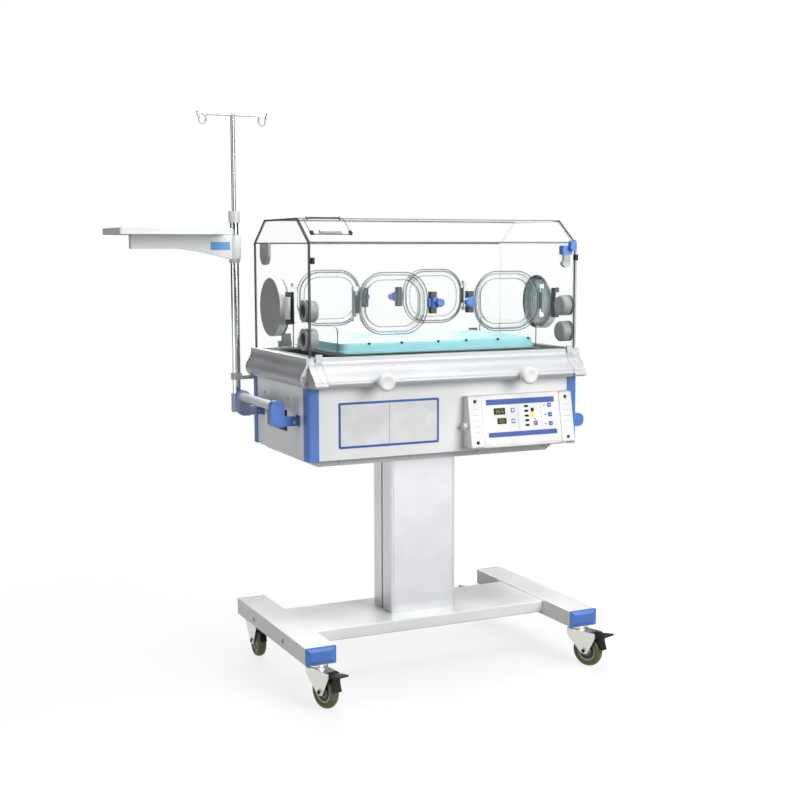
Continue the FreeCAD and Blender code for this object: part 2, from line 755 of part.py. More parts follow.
def panel_latch():
    """Turning latch at the top right of the panel: ring, collar, block and pill-shaped nose."""
    y = panel_front()
    shaft = rod(V(LOCK_X, y - 8, LOCK_Z), Y, 8 + ACRYLIC + 4, LOCK_PIN_R)
    washer = rod(V(LOCK_X, panel_y() + 1, LOCK_Z), Y, 3, 9)
    ring = rod(V(LOCK_X, y - 14, LOCK_Z), Y, 14 - GAP, LOCK_RING_R)
    low = LOCK_Z + LOCK_RING_R - 5
    half = LOCK_COLLAR_W / 2
    collar = rounded(box(LOCK_X - half, LOCK_X + half, y - 17, y - 3, low, low + LOCK_COLLAR_H), Z, 4)
    low += LOCK_COLLAR_H - 3
    block = box(LOCK_X + half - LOCK_BLOCK_W, LOCK_X + half, y - 24, y - 2, low, low + LOCK_BLOCK_H)
    block = rounded(block, Y, 4)
    pill_z = low + LOCK_BLOCK_H
    pill = oval(LOCK_PILL_W, LOCK_PILL_H, LOCK_PILL_W / 2 - 0.1, y - 36, 16, LOCK_X + half - 2, pill_z)
    return ring.multiFuse([shaft, washer, collar, block, pill]).removeSplitter()


# Hood

def hood_points(inset):
    """Corners of the hood's end profile from the front foot over the top to the rear foot."""
    rise = HOOD_TOP - HOOD_SHOULDER
    runs = (TOP_Y[0] + HOOD_Y, HOOD_Y - TOP_Y[1])
    slopes = [math.hypot(run, rise) for run in runs]
    shoulders = [HOOD_SHOULDER - inset * (slope - rise) / run for slope, run in zip(slopes, runs)]
    tops = [inset * (slope - run) / rise for slope, run in zip(slopes, runs)]
    return [(-HOOD_Y + inset, HOOD_Z), (-HOOD_Y + inset, shoulders[0]),
            (TOP_Y[0] + tops[0], HOOD_TOP - inset),
            (TOP_Y[1] - tops[1], HOOD_TOP - inset), (HOOD_Y - inset, shoulders[1]),
            (HOOD_Y - inset, HOOD_Z)]


def hood_sheet(index):
    """The sheet between two neighbouring corners of the profile, mitred to the next ones."""
    outer, inner = hood_points(0), hood_points(ACRYLIC)
    section = [outer[index], outer[index + 1], inner[index + 1], inner[index]]
    x0 = -HOOD_X + ACRYLIC
    return prism([(x0, y, z) for y, z in section], V(-2 * x0, 0, 0))


def hood_end(side):
    """End wall over the whole profile, with the holes of the round port and of the grommets."""
    x0 = HOOD_X - ACRYLIC
    wall = prism([(x0, y, z) for y, z in hood_points(0)], V(ACRYLIC, 0, 0))
    wall = wall.cut(rod(V(x0 - 1, 0, END_Z), X, ACRYLIC + 2, END_BORE_R))
    for z in GROMMET_Z:
        wall = wall.cut(rod(V(x0 - 1, GROMMET_Y, z), X, ACRYLIC + 2, GROMMET_NECK_R))
    return wall if side > 0 else mirror_x(wall)


def slope_frame(x, along, out):
    """A point on the front slope: along it from the top edge, and out of its face."""
    run, rise = TOP_Y[0] + HOOD_Y, HOOD_TOP - HOOD_SHOULDER
    length = math.hypot(run, rise)
    down = V(0, -run / length, -rise / length)
    normal = V(0, -rise / length, run / length)
    return V(x, TOP_Y[0], HOOD_TOP) + down * along + normal * out


def slope_block(x0, x1, along0, along1, out0, out1):
    """A block lying on the front slope."""
    corners = [slope_frame(x0, a, o) for a, o in ((along0, out0), (along1, out0), (along1, out1),
                                                  (along0, out1))]
    return Part.Face(Part.makePolygon(corners + corners[:1])).extrude(V(x1 - x0, 0, 0))


def hood_canopy():
    """Hood of bonded acrylic sheets, open below and in front, with its port rings."""
    lip = hood_sheet(0).common(box(-HOOD_X, HOOD_X, -HOOD_Y, 0, HOOD_SHOULDER - HOOD_LIP, HOOD_TOP))
    slope = hood_sheet(1).fuse(lip).removeSplitter()
    x0, x1 = HATCH_X
    slope = slope.cut(slope_block(x0 + HATCH_MARGIN, x1 - HATCH_MARGIN, HATCH_MARGIN + 6,
                                  78 - HATCH_MARGIN, -20, 20))
    rear = hood_sheet(4)
    for s in SIDES:
        ring = port_plate(0, panel_front() - RING_H + PANEL_GAP + ACRYLIC, RING_H + ACRYLIC + 4, s)
        rear = rear.fuse(mirror_y(ring)).cut(mirror_y(port_plate(-PORT_WALL, -HOOD_Y - 40, 80, s)))
    seat = pipe(V(HOOD_X, 0, END_Z), X, END_RING_L, END_RING_R, END_BORE_R)
    ends = [hood_end(s) for s in SIDES] + [seat, mirror_x(seat)]
    return group([slope, hood_sheet(2), hood_sheet(3), rear.removeSplitter()] + ends)


def rear_shift():
    """Distance from the front panel's face, mirrored, to the hood's rear face."""
    return HOOD_Y + panel_front()


def to_rear(shape):
    return mirror_y(shape).translated(V(0, rear_shift(), 0))


def hood_hinges():
    """Leaves on the hood with the barrels that turn on the rail's pins."""
    leaves = []
    for s in SIDES:
        x = s * HOOD_HINGE_X
        leaf = box(x - 15, x + 15, HOOD_Y, HOOD_Y + 4, HOOD_Z, HOOD_Z + 40)
        barrel = rod(V(x - 12, hood_pin_y(), hood_pin_z()), X, 24, 7)
        tongue = box(x - 12, x + 12, HOOD_Y + 3, hood_pin_y(), hood_pin_z() - 3, hood_pin_z() + 5)
        hinge = leaf.multiFuse([barrel, tongue])
        leaves.append(hinge.cut(rod(V(x - 40, hood_pin_y(), hood_pin_z()), X, 80,
                                    4 + RUN)).removeSplitter())
    return leaves


def hood_pin_y():
    return HOOD_Y + 14


def hood_pin_z():
    return HOOD_Z + 10


def hinge_lugs():
    """Lugs and pins on the rear rail that carry the hood."""
    sets = []
    for s in SIDES:
        x = s * HOOD_HINGE_X
        lugs = [box(a, a + 8, hood_pin_y() - 6, hood_pin_y() + 7, RAIL_TOP - 12, hood_pin_z() + 7)
                for a in (x - 21, x + 13)]
        foot = box(x - 25, x + 25, HALF_D, HALF_D + 17, RAIL_TOP - 30, RAIL_TOP - 12)
        pin = rod(V(x - 21, hood_pin_y(), hood_pin_z()), X, 42, 4)
        sets.append(foot.multiFuse(lugs + [pin]).removeSplitter())
    return sets


def end_pin(side):
    return V(side * (HOOD_X + END_PIN_OUT), -END_R - 14, END_Z)


def grommet(side, z):
    """Flange outside, neck through the wall and a rounded cup inside, closed by a thin web."""
    flange = rod(V(HOOD_X, GROMMET_Y, z), X, 4, GROMMET_R)
    neck = rod(V(HOOD_X - ACRYLIC, GROMMET_Y, z), X, ACRYLIC, GROMMET_NECK_R - RUN)
    end = HOOD_X - ACRYLIC - CUP_L
    cup = rod(V(end, GROMMET_Y, z), X, CUP_L, GROMMET_R)
    cup = cup.makeFillet(CUP_ROUND, [e for e in cup.Edges if abs(e.BoundBox.XMax - end) < 1e-6])
    bore = rod(V(end + 3, GROMMET_Y, z), X, 80, GROMMET_BORE_R)
    piece = flange.multiFuse([neck, cup]).cut(bore).removeSplitter()
    return piece if side > 0 else mirror_x(piece)


def hood_fittings():
    """Door brackets, tubing grommets and the probe sleeve of the end walls, and the hinges on the hood."""
    pieces = []
    for s in SIDES:
        wall = s * HOOD_X
        ep = end_pin(s)
        low, high = END_Z - END_BRACKET_H / 2, END_Z + END_BRACKET_H / 2
        plate = box(min(wall, wall + s * 3), max(wall, wall + s * 3), ep.y - 14, ep.y + 8, low, high)
        lugs = [box(min(wall, ep.x + s * 7), max(wall, ep.x + s * 7), ep.y - 8, ep.y + 6, z,
                    z + END_LUG_H)
                for z in (low, high - END_LUG_H)]
        pin = rod(V(ep.x, ep.y, low), Z, END_BRACKET_H, END_PIN_R)
        bracket = plate.multiFuse(lugs + [pin]).removeSplitter()
        pieces.append(bracket)
        for z in GROMMET_Z:
            pieces.append(grommet(s, z))
    sleeve = box(-HOOD_X - SLEEVE_T, -HOOD_X, SLEEVE_Y[0], SLEEVE_Y[1], SLEEVE_Z[0], SLEEVE_Z[1])
    low = [e for e in sleeve.Edges if e.BoundBox.YLength < 1e-6 and e.BoundBox.ZMax < SLEEVE_Z[0] + 1e-3]
    pieces.append(sleeve.makeFillet(SLEEVE_CORNER, low))
    return group(pieces + hood_hinges() + [hatch_bracket()])


def end_door(side):
    """Round door with a deep skirt and a hinge barrel on its front side."""
    out = HOOD_X + END_OUT
    disc = rod(V(out - 11, 0, END_Z), X, 11, END_R)
    disc = disc.makeFillet(3, [e for e in disc.Edges if abs(e.BoundBox.XMin - out) < 1e-6])
    skirt = pipe(V(HOOD_X + 1, 0, END_Z), X, END_OUT - 11, END_R - 1, END_R - 2.6)
    disc = disc.fuse(skirt)
    ep = end_pin(1)
    reach = END_BRACKET_H / 2 - END_LUG_H - GAP
    barrel = rod(V(ep.x, ep.y, END_Z - reach), Z, 2 * reach, END_PIN_R + 4)
    ear = box(ep.x - 3, ep.x + 4, ep.y, -END_R + 12, END_Z - reach, END_Z + reach)
    ear = ear.cut(rod(V(HOOD_X - 1, 0, END_Z), X, END_OUT - 10, END_R - 2))
    door = disc.multiFuse([barrel, ear])
    door = door.cut(rod(V(ep.x, ep.y, END_Z - END_BRACKET_H / 2), Z, END_BRACKET_H, END_PIN_R + RUN))
    door = door.removeSplitter()
    return door if side > 0 else mirror_x(door)


def hatch_pin():
    """Middle of the hatch's hinge, on the front slope just below the edge of the hood's top."""
    return slope_frame(0, HATCH_PIN_DOWN, HATCH_BARREL_R + GAP)


def hatch_lug_places():
    return [HATCH_X[0] + HATCH_LUG_IN, HATCH_X[1] - HATCH_LUG_IN - HATCH_LUG_W]


def hatch_bracket():
    """Two lugs on the front slope with the pin of the hatch between them."""
    x0, x1 = HATCH_X
    pin = hatch_pin()
    lugs = [slope_block(x, x + HATCH_LUG_W, HATCH_PIN_DOWN - HATCH_BARREL_R, HATCH_PIN_DOWN + HATCH_BARREL_R,
                        0, 2 * HATCH_BARREL_R + GAP) for x in hatch_lug_places()]
    start = V(x0 + HATCH_LUG_IN, pin.y, pin.z)
    shaft = rod(start, X, x1 - x0 - 2 * HATCH_LUG_IN, HATCH_PIN_R)
    return shaft.multiFuse(lugs).removeSplitter()


def hatch():
    """Lid on the front slope with a grip, turning on the pin at its top edge."""
    x0, x1 = HATCH_X
    lid = slope_block(x0, x1, HATCH_PIN_DOWN, 80, GAP, HATCH_T)
    reach = math.hypot(HATCH_BARREL_R, HATCH_BARREL_R + GAP) + GAP
    notches = [slope_block(x - GAP, x + HATCH_LUG_W + GAP, 0, HATCH_PIN_DOWN + reach, 0, 2 * HATCH_T)
               for x in hatch_lug_places()]
    grip = slope_block(x0 + 26, x1 - 30, 68, 78, HATCH_T, HATCH_T + 8)
    clips = [slope_block(a, a + 9, 70, 82, GAP, HATCH_T + 3) for a in (x0 - 2, x1 - 7)]
    pin = hatch_pin()
    inner = HATCH_LUG_IN + HATCH_LUG_W + GAP
    barrel = rod(V(x0 + inner, pin.y, pin.z), X, x1 - x0 - 2 * inner, HATCH_BARREL_R)
    bore = rod(V(x0, pin.y, pin.z), X, x1 - x0, HATCH_PIN_R + RUN)
    lid = lid.cut(group(notches)).multiFuse([grip, barrel] + clips)
    return lid.cut(bore).removeSplitter()


# Deck, tray and mattress

def deck():
    """Moulded deck with a sunk well under the tray and air slots along both long sides."""
    x, y = HALF_W - RAIL_INSET - GAP, HALF_D - RAIL_INSET - GAP
    block = box(-x, x, -y, y, WELL_Z - DECK_WALL, DECK_RIM_Z)
    well = rounded(box(-WELL_X, WELL_X, -WELL_Y, WELL_Y, WELL_Z, DECK_RIM_Z + 1), Z, WELL_CORNER)
    under = box(-x - 1, x + 1, -y - 1, y + 1, WELL_Z - DECK_WALL - 1, DECK_RIM_Z - DECK_WALL)
    keep = box(-WELL_X - DECK_WALL, WELL_X + DECK_WALL, -WELL_Y - DECK_WALL, WELL_Y + DECK_WALL,
               WELL_Z - DECK_WALL - 1, DECK_RIM_Z + 1)
    skirt = box(-x + DECK_WALL, x - DECK_WALL, -y + DECK_WALL, y - DECK_WALL, WELL_Z - DECK_WALL - 1,
                DECK_RIM_Z)
    shell = block.cut(under.cut(keep).common(skirt)).cut(well)
    slots = [box(side * SLOT_X - 5, side * SLOT_X + 5, (i - 2) * SLOT_PITCH - 20,
                 (i - 2) * SLOT_PITCH + 20,
                 DECK_RIM_Z - 10, DECK_RIM_Z + 1) for side in SIDES for i in range(5)]
    outlet = rod(V(FAN_X, 0, WELL_Z - 10), Z, 20, FAN_R - 14)
    shell = shell.cut(group(slots)).cut(outlet)
    lugs = [box(-LUG_W / 2, LUG_W / 2, y0, y0 + LUG_T, WELL_Z - 1, TRAY_Z - 2)
            for y0 in (-WELL_Y + 2, WELL_Y - 2 - LUG_T)]
    pins = [rod(V(0, y0, tilt_z()), Y, 2 * LUG_T + 2, TRAY_PIVOT_R) for y0 in (-WELL_Y + 2,
                                                                               WELL_Y - 4 - 2 * LUG_T)]
    return shell.multiFuse(lugs + pins).removeSplitter()


def tilt_z():
    """Height of the pivot that the tray tilts on."""
    return TRAY_Z - 8


def mattress_tray():
    """Tray on its middle pivot with two clear end guards."""
    plate = box(-TRAY_L / 2, TRAY_L / 2, -TRAY_D / 2, TRAY_D / 2, TRAY_Z, TRAY_Z + TRAY_T)
    plate = rounded(plate, Z, 14)
    inner = LUG_T + 3
    ends = [box(-LUG_W / 2, LUG_W / 2, y0, y0 + LUG_T - 2, tilt_z() - 8, TRAY_Z)
            for y0 in (-WELL_Y + inner, WELL_Y - inner - LUG_T + 2)]
    ribs = [box(-TRAY_L / 2 + 30, TRAY_L / 2 - 30, i * TRAY_D / 3.5 - 2, i * TRAY_D / 3.5 + 2, tilt_z(),
                TRAY_Z)
            for i in (-1, 0, 1)]
    plate = plate.multiFuse(ends + ribs)
    plate = plate.cut(rod(V(0, -WELL_Y, tilt_z()), Y, 2 * WELL_Y, TRAY_PIVOT_R + RUN)).removeSplitter()
    guards = []
    for s in SIDES:
        x = s * (MATTRESS_L / 2 + 6)
        guard = box(x - GUARD_T / 2, x + GUARD_T / 2, -TRAY_D / 2 + 14, TRAY_D / 2 - 14, TRAY_Z + TRAY_T,
                    TRAY_Z + TRAY_T + GUARD_H)
        tops = [e for e in guard.Edges if e.BoundBox.YLength < 1e-6 and e.BoundBox.ZLength < 1e-6
                and e.BoundBox.ZMin > TRAY_Z + GUARD_H - 1]
        guards.append(guard.makeFillet(18, tops))
    return group([plate] + guards)


def mattress():
    pad = box(-MATTRESS_L / 2, MATTRESS_L / 2, -MATTRESS_D / 2, MATTRESS_D / 2, TRAY_Z + TRAY_T,
              TRAY_Z + TRAY_T + MATTRESS_H)
    return rounded(pad, Z, 22)


def tilt_knob(side):
    """Flared hand knob, its shaft through the rail and the pinion that drives the lifter."""
    y0 = -HALF_D - FRONT_BULGE - GAP
    x = side * KNOB_X
    head = Part.makeCone(KNOB_R - KNOB_FLARE, KNOB_R, KNOB_H, V(x, y0, KNOB_Z), V(0, -1, 0))
    face = [e for e in head.Edges if abs(e.BoundBox.YMax - (y0 - KNOB_H)) < 1e-6]
    head = head.makeFillet(KNOB_ROUND, face)
    shaft = rod(V(x, y0 - 1, KNOB_Z), Y, KNOB_SHAFT_L, KNOB_SHAFT_R)
    pinion = rod(V(x, -HALF_D + RAIL_INSET + 12, KNOB_Z), Y, 12, 10)
    return head.multiFuse([shaft, pinion]).removeSplitter()


# Handles

def handle(side, folded):
    """Two brackets and the grip bar, drawn on the +X side in the raised position."""
    x_out = HALF_W + GRIP_OUT
    pieces = []
    for s in SIDES:
        y0 = s * HANDLE_Y - BRACKET_T / 2
        upright = box(x_out - BRACKET_W / 2, x_out + BRACKET_W / 2, y0, y0 + BRACKET_T, HANDLE_PIN_Z - 15,
                      GRIP_Z + 19)
        ends = [e for e in upright.Edges if e.BoundBox.XLength < 1e-6 and e.BoundBox.ZLength < 1e-6]
        upright = upright.makeFillet(17, [e for e in ends if e.BoundBox.ZMin > GRIP_Z])
        low = [e for e in upright.Edges if isinstance(e.Curve, Part.Line) and e.BoundBox.XLength < 1e-6
               and e.BoundBox.ZLength < 1e-6 and e.BoundBox.ZMin < HANDLE_PIN_Z and e.BoundBox.XMin > x_out]
        upright = upright.makeFillet(24, low)
        arm = box(HANDLE_PIN_X, x_out, y0, y0 + BRACKET_T, HANDLE_PIN_Z - 13, HANDLE_PIN_Z + 13)
        eye = rod(V(HANDLE_PIN_X, y0, HANDLE_PIN_Z), Y, BRACKET_T, 13)
        bracket = upright.multiFuse([arm, eye])
        bracket = bracket.cut(rod(V(HANDLE_PIN_X, y0 - 1, HANDLE_PIN_Z), Y, BRACKET_T + 2,
                                  HANDLE_PIN_R + RUN))
        pieces.append(bracket.removeSplitter())
    inner = HANDLE_Y - BRACKET_T / 2
    grip = rod(V(x_out, -inner, GRIP_Z), Y, 2 * inner, GRIP_R)
    whole = group(pieces + [grip])
    if folded:
        whole = whole.rotated(V(HANDLE_PIN_X, 0, HANDLE_PIN_Z), Y, 90)
    return whole if side > 0 else mirror_x(whole)


def handle_lugs():
    """Wall plates, each with two ears and the pin of one bracket."""
    lugs = []
    for s in SIDES:
        y0 = s * HANDLE_Y - BRACKET_T / 2 - GAP
        y1 = s * HANDLE_Y + BRACKET_T / 2 + GAP
        plate = box(HALF_W, HALF_W + 1.5, y0 - 5, y1 + 5, HANDLE_PIN_Z - 16, HANDLE_PIN_Z + 16)
        ears = [box(HALF_W, HANDLE_PIN_X + 9, y, y + 5, HANDLE_PIN_Z - 10,
                    HANDLE_PIN_Z + 10) for y in (y0 - 5, y1)]
        pin = rod(V(HANDLE_PIN_X, y0 - 5, HANDLE_PIN_Z), Y, y1 - y0 + 10, HANDLE_PIN_R)
        lug = plate.multiFuse(ears + [pin]).removeSplitter()
        lugs += [lug, mirror_x(lug)]
    return group(lugs)


# Control unit

def unit_prism(x0, x1, proud=0.0):
    """Wedge of the control unit's side profile; proud moves the sloped face outwards."""
    wall = -HALF_D
    points = [(x0, wall, UNIT_Z[0]), (x0, wall - UNIT_BOTTOM_D - proud, UNIT_Z[0]),
              (x0, wall - UNIT_TOP_D - proud, UNIT_Z[1]), (x0, wall, UNIT_Z[1])]
    return prism(points, V(x1 - x0, 0, 0))


def control_housing():
    return unit_prism(UNIT_X[0] + COVER_W, UNIT_X[1] - COVER_W, -FASCIA_SEAT)


def control_covers():
    """Two ribbed end covers with a recessed hole for a screw in each corner."""
    covers = []
    for x0 in (UNIT_X[0], UNIT_X[1] - COVER_W):
        cover = rounded(unit_prism(x0, x0 + COVER_W), X, 5)
        for along in COVER_SCREWS:
            z = UNIT_Z[1] - along * math.cos(FACE_ANGLE)
            y = -HALF_D - UNIT_TOP_D - along * math.sin(FACE_ANGLE)
            normal = V(0, -math.cos(FACE_ANGLE), math.sin(FACE_ANGLE))
            start = V(x0 + COVER_W / 2, y, z) - normal * 6
            cover = cover.cut(rod(start, normal, 20, SCREW_WELL_R))
        for i in range(COVER_RIBS):
            along = RIB_START + i * RIB_PITCH
            z = UNIT_Z[1] - along * math.cos(FACE_ANGLE)
            y = -HALF_D - UNIT_TOP_D - along * math.sin(FACE_ANGLE)
            rib = box(x0 + RIB_MARGIN, x0 + COVER_W - RIB_MARGIN, -0.9, 0.9, -1.6, 1.6)
            cover = cover.cut(rib.translated(V(0, y, z)))
        covers.append(cover)
    shaft = rod(V(UNIT_X[0] - 1, -HALF_D - THUMB_OUT, THUMB_Z), X, THUMB_L + 1, THUMB_R / 3 + RUN)
    return group([covers[0].cut(shaft), covers[1]])


def face_block(x0, x1, along0, along1, out0, out1):
    """A block on the sloped face of the control unit, measured down it from its top edge."""
    down = V(0, -math.sin(FACE_ANGLE), -math.cos(FACE_ANGLE))
    normal = V(0, -math.cos(FACE_ANGLE), math.sin(FACE_ANGLE))
    start = V(x0, -HALF_D - UNIT_TOP_D, UNIT_Z[1])
    corners = [start + down * a + normal * o for a, o in
               ((along0, out0), (along1, out0), (along1, out1), (along0, out1))]
    return Part.Face(Part.makePolygon(corners + corners[:1])).extrude(V(x1 - x0, 0, 0))


def control_fascia():
    """Membrane panel with its display windows and raised keys."""
    x0, x1 = UNIT_X[0] + COVER_W + 1, UNIT_X[1] - COVER_W - 1
    seat = -FASCIA_SEAT * math.cos(FACE_ANGLE)
    sheet = face_block(x0, x1, FASCIA_ALONG[0], FASCIA_ALONG[1], seat, seat + FASCIA_T)
    raised = []
    for share, along in KEYS:
        left = x0 + share * (x1 - x0) - KEY / 2
        raised.append(face_block(left, left + KEY, along - KEY / 2, along + KEY / 2, seat + 1,
                                 seat + FASCIA_T + 1))
    return sheet.multiFuse(raised).removeSplitter()


def clamp_knob():
    """Small thumb knob on the left end cover."""
    x = UNIT_X[0] - GAP
    knob = rod(V(x - THUMB_L, -HALF_D - THUMB_OUT, THUMB_Z), X, THUMB_L, THUMB_R)
    return knob.fuse(rod(V(x, -HALF_D - THUMB_OUT, THUMB_Z), X, THUMB_L, THUMB_R / 3)).removeSplitter()


# Pole and shelf

def pole_tube():
    z0, z1 = POLE_Z
    return pipe(V(POLE_X, POLE_Y, z0), Z, z1 - z0 + 10, POLE_R, POLE_R - POLE_WALL)


def pole_brackets():
    """Foot socket, upper clamp and shelf collar with their arms to the cabinet."""
    z0, z1 = POLE_Z
    socket = rod(V(POLE_X, POLE_Y, z0 - 6), Z, 56, COLLAR_R)
    arm = box(POLE_X, -HALF_W - POST_T, POLE_Y - 8, POLE_Y + 8, z0 + 10, z0 + 34)
    socket = socket.fuse(arm).cut(rod(V(POLE_X, POLE_Y, z0), Z, 80, POLE_R)).removeSplitter()
    clamp = rod(V(POLE_X, POLE_Y, RAIL_Z - 12), Z, 20, COLLAR_R)
    arm = box(POLE_X, -HALF_W - POST_T, POLE_Y - 7, POLE_Y + 7, RAIL_Z - 12, RAIL_Z - 1)
    clamp = clamp.fuse(arm).cut(rod(V(POLE_X, POLE_Y, RAIL_Z - 20), Z, 60, POLE_R)).removeSplitter()
    stop = pipe(V(POLE_X, POLE_Y, ARM_Z - 12 - GAP), Z, 12, COLLAR_R - 1, POLE_R)
    bush = rod(V(POLE_X, POLE_Y, z1), Z, 34, COLLAR_R)
    bush = bush.cut(rod(V(POLE_X, POLE_Y, z1 - 1), Z, 11, POLE_R))
    bush = bush.cut(rod(V(POLE_X, POLE_Y, z1), Z, 60, ROD_R + RUN))
    return group([socket, clamp, stop, bush])


def iv_rod():
    """Sliding rod with its crossbar and a curled hook at each end."""
    stem = rod(V(POLE_X, POLE_Y, ROD_TAIL), Z, ROD_TOP - ROD_TAIL, ROD_R)
    bar = rod(V(POLE_X - CROSSBAR / 2, POLE_Y, ROD_TOP - HOOK_WIRE_R), X, CROSSBAR, HOOK_WIRE_R)
    hooks = []
    for s in SIDES:
        x = POLE_X + s * CROSSBAR / 2
        top = V(x, POLE_Y, ROD_TOP - HOOK_WIRE_R)
        low = top + V(s * 2, 0, -2 * HOOK_R - 4)
        mid_in = top + V(-s * (HOOK_R - 3), 0, -HOOK_R - 4)
        out = top + V(s * HOOK_R, 0, -HOOK_R)
        tip = out + V(s * 6, 0, 18)
        path = Part.Wire([Part.Arc(top, mid_in, low).toShape(), Part.Arc(low, V(x + s * 12, POLE_Y,
                          low.z + 8), out).toShape(), Part.LineSegment(out, tip).toShape()])
        section = Part.Wire([Part.Circle(top, X, HOOK_WIRE_R).toShape()])
        hook = path.makePipeShell([section], True, True)
        hooks.append(hook)
        hooks.append(Part.makeSphere(HOOK_WIRE_R, top))
        hooks.append(Part.makeSphere(HOOK_WIRE_R, tip))
    return stem.multiFuse([bar] + hooks).removeSplitter()


def shelf():
    """Shelf plate with its lip and ribs, and the tapered arm that turns on the pole."""
    x0, x1 = SHELF_X
    y0, y1 = POLE_Y - SHELF_D / 2, POLE_Y + SHELF_D / 2
    plate = rounded(box(x0, x1, y0, y1, SHELF_Z - SHELF_H, SHELF_Z), Z, 6)
    plate = plate.cut(box(x0 + SHELF_WALL, x1 - SHELF_WALL, y0 + SHELF_WALL, y1 - SHELF_WALL,
                          SHELF_Z - SHELF_H - 1, SHELF_Z - SHELF_WALL))
    ribs = [box(x - 1.5, x + 1.5, y0 + 1, y1 - 1, SHELF_Z - SHELF_H + 3, SHELF_Z - 1)
            for x in (x0 + (x1 - x0) * k / 4 for k in (1, 2, 3))]
    plate = plate.multiFuse(ribs).removeSplitter()
    under = SHELF_Z - SHELF_H
    start = V(ARM_X, POLE_Y, under)
    knee = V(ARM_X + ARM_FLAT_L, POLE_Y, under - ARM_DROP)
    root = V(POLE_X - 18, POLE_Y, ARM_Z)
    pts = [start, V(ARM_X, POLE_Y, under - ARM_DROP), knee]
    edges = [Part.LineSegment(a, b).toShape() for a, b in zip(pts, pts[1:])]
    edges.append(Part.Arc(knee, V((knee.x + root.x) / 2, POLE_Y, under - 52), root).toShape())
    corner = V(POLE_X - 5, POLE_Y, ARM_Z)
    rest = [root, corner, V(corner.x, POLE_Y, under), start]
    edges += [Part.LineSegment(a, b).toShape() for a, b in zip(rest, rest[1:])]
    web = Part.Face(Part.Wire(edges)).extrude(V(0, 28, 0)).translated(V(0, -14, 0))
    knuckle = pipe(V(POLE_X, POLE_Y, ARM_Z), Z, under - ARM_Z, COLLAR_R + 2, POLE_R + RUN)
    web = web.cut(rod(V(POLE_X, POLE_Y, ARM_Z - 1), Z, under - ARM_Z + 2, COLLAR_R + 2))
    return group([plate, web, knuckle])


# Air system

def pan_z():
    """Inside face of the cabinet's floor."""
    return CABINET_Z + SHEET


def fan_z():
    return pan_z() + FAN_LIFT


def fan_motor():
    top = pan_z() + MOTOR_H
    can = rod(V(FAN_X, 0, pan_z()), Z, MOTOR_H, MOTOR_R)
    can = can.makeFillet(5, [e for e in can.Edges if abs(e.BoundBox.ZMin - top) < 1e-6])
    return can.fuse(rod(V(FAN_X, 0, pan_z()), Z, FAN_LIFT + FAN_H + 6, FAN_SHAFT_R)).removeSplitter()


def fan_impeller():
    """Radial impeller: back plate, hub and curved blades."""
    z = fan_z()
    plate = rod(V(FAN_X, 0, z), Z, 2, FAN_R)
    hub = rod(V(FAN_X, 0, z), Z, FAN_H, FAN_SHAFT_R + 6)
    blades = []
    for i in range(BLADES):
        blade = Part.Arc(V(FAN_R * 0.39, 0, 0), V(FAN_R * 0.68, 7, 0), V(FAN_R - 2, 24, 0)).toShape()
        wall = blade.extrude(V(0, 0, FAN_H)).makeOffsetShape(1.2, 0.01, fill=True)
        blades.append(wall.rotated(V(0, 0, 0), Z, 360 / BLADES * i).translated(V(FAN_X, 0, z)))
    wheel_solid = plate.multiFuse([hub] + blades)
    return wheel_solid.cut(rod(V(FAN_X, 0, z - 1), Z, FAN_H + 2, FAN_SHAFT_R + RUN)).removeSplitter()


def heater():
    """Finned heater block beside the fan."""
    x0, x1 = HEATER_X
    half = HEATER_D / 2
    base = box(x0, x1, -half, half, pan_z(), pan_z() + 12)
    pitch = (x1 - x0) / FINS
    fins = [box(x0 + (i + 0.4) * pitch, x0 + (i + 0.6) * pitch, -half + 4, half - 4, pan_z() + 11,
                pan_z() + HEATER_H)
            for i in range(FINS)]
    return base.multiFuse(fins).removeSplitter()


def water_tank():
    """Closed tank with an open neck for the vapour."""
    x0, x1 = TANK_X
    half, wall, top = TANK_D / 2, TANK_WALL, pan_z() + TANK_H
    tank = rounded(box(x0, x1, -half, half, pan_z(), top), Z, 14)
    inside = rounded(box(x0 + wall, x1 - wall, -half + wall, half - wall, pan_z() + wall, top - wall),
                     Z, 14 - wall)
    middle = (x0 + x1) / 2
    neck = rod(V(middle, 0, top - wall - 2), Z, TANK_NECK_R, TANK_NECK_R)
    bore = rod(V(middle, 0, top - TANK_NECK_R), Z, 3 * TANK_NECK_R, TANK_NECK_R - 4)
    return tank.fuse(neck).cut(inside).cut(bore).removeSplitter()


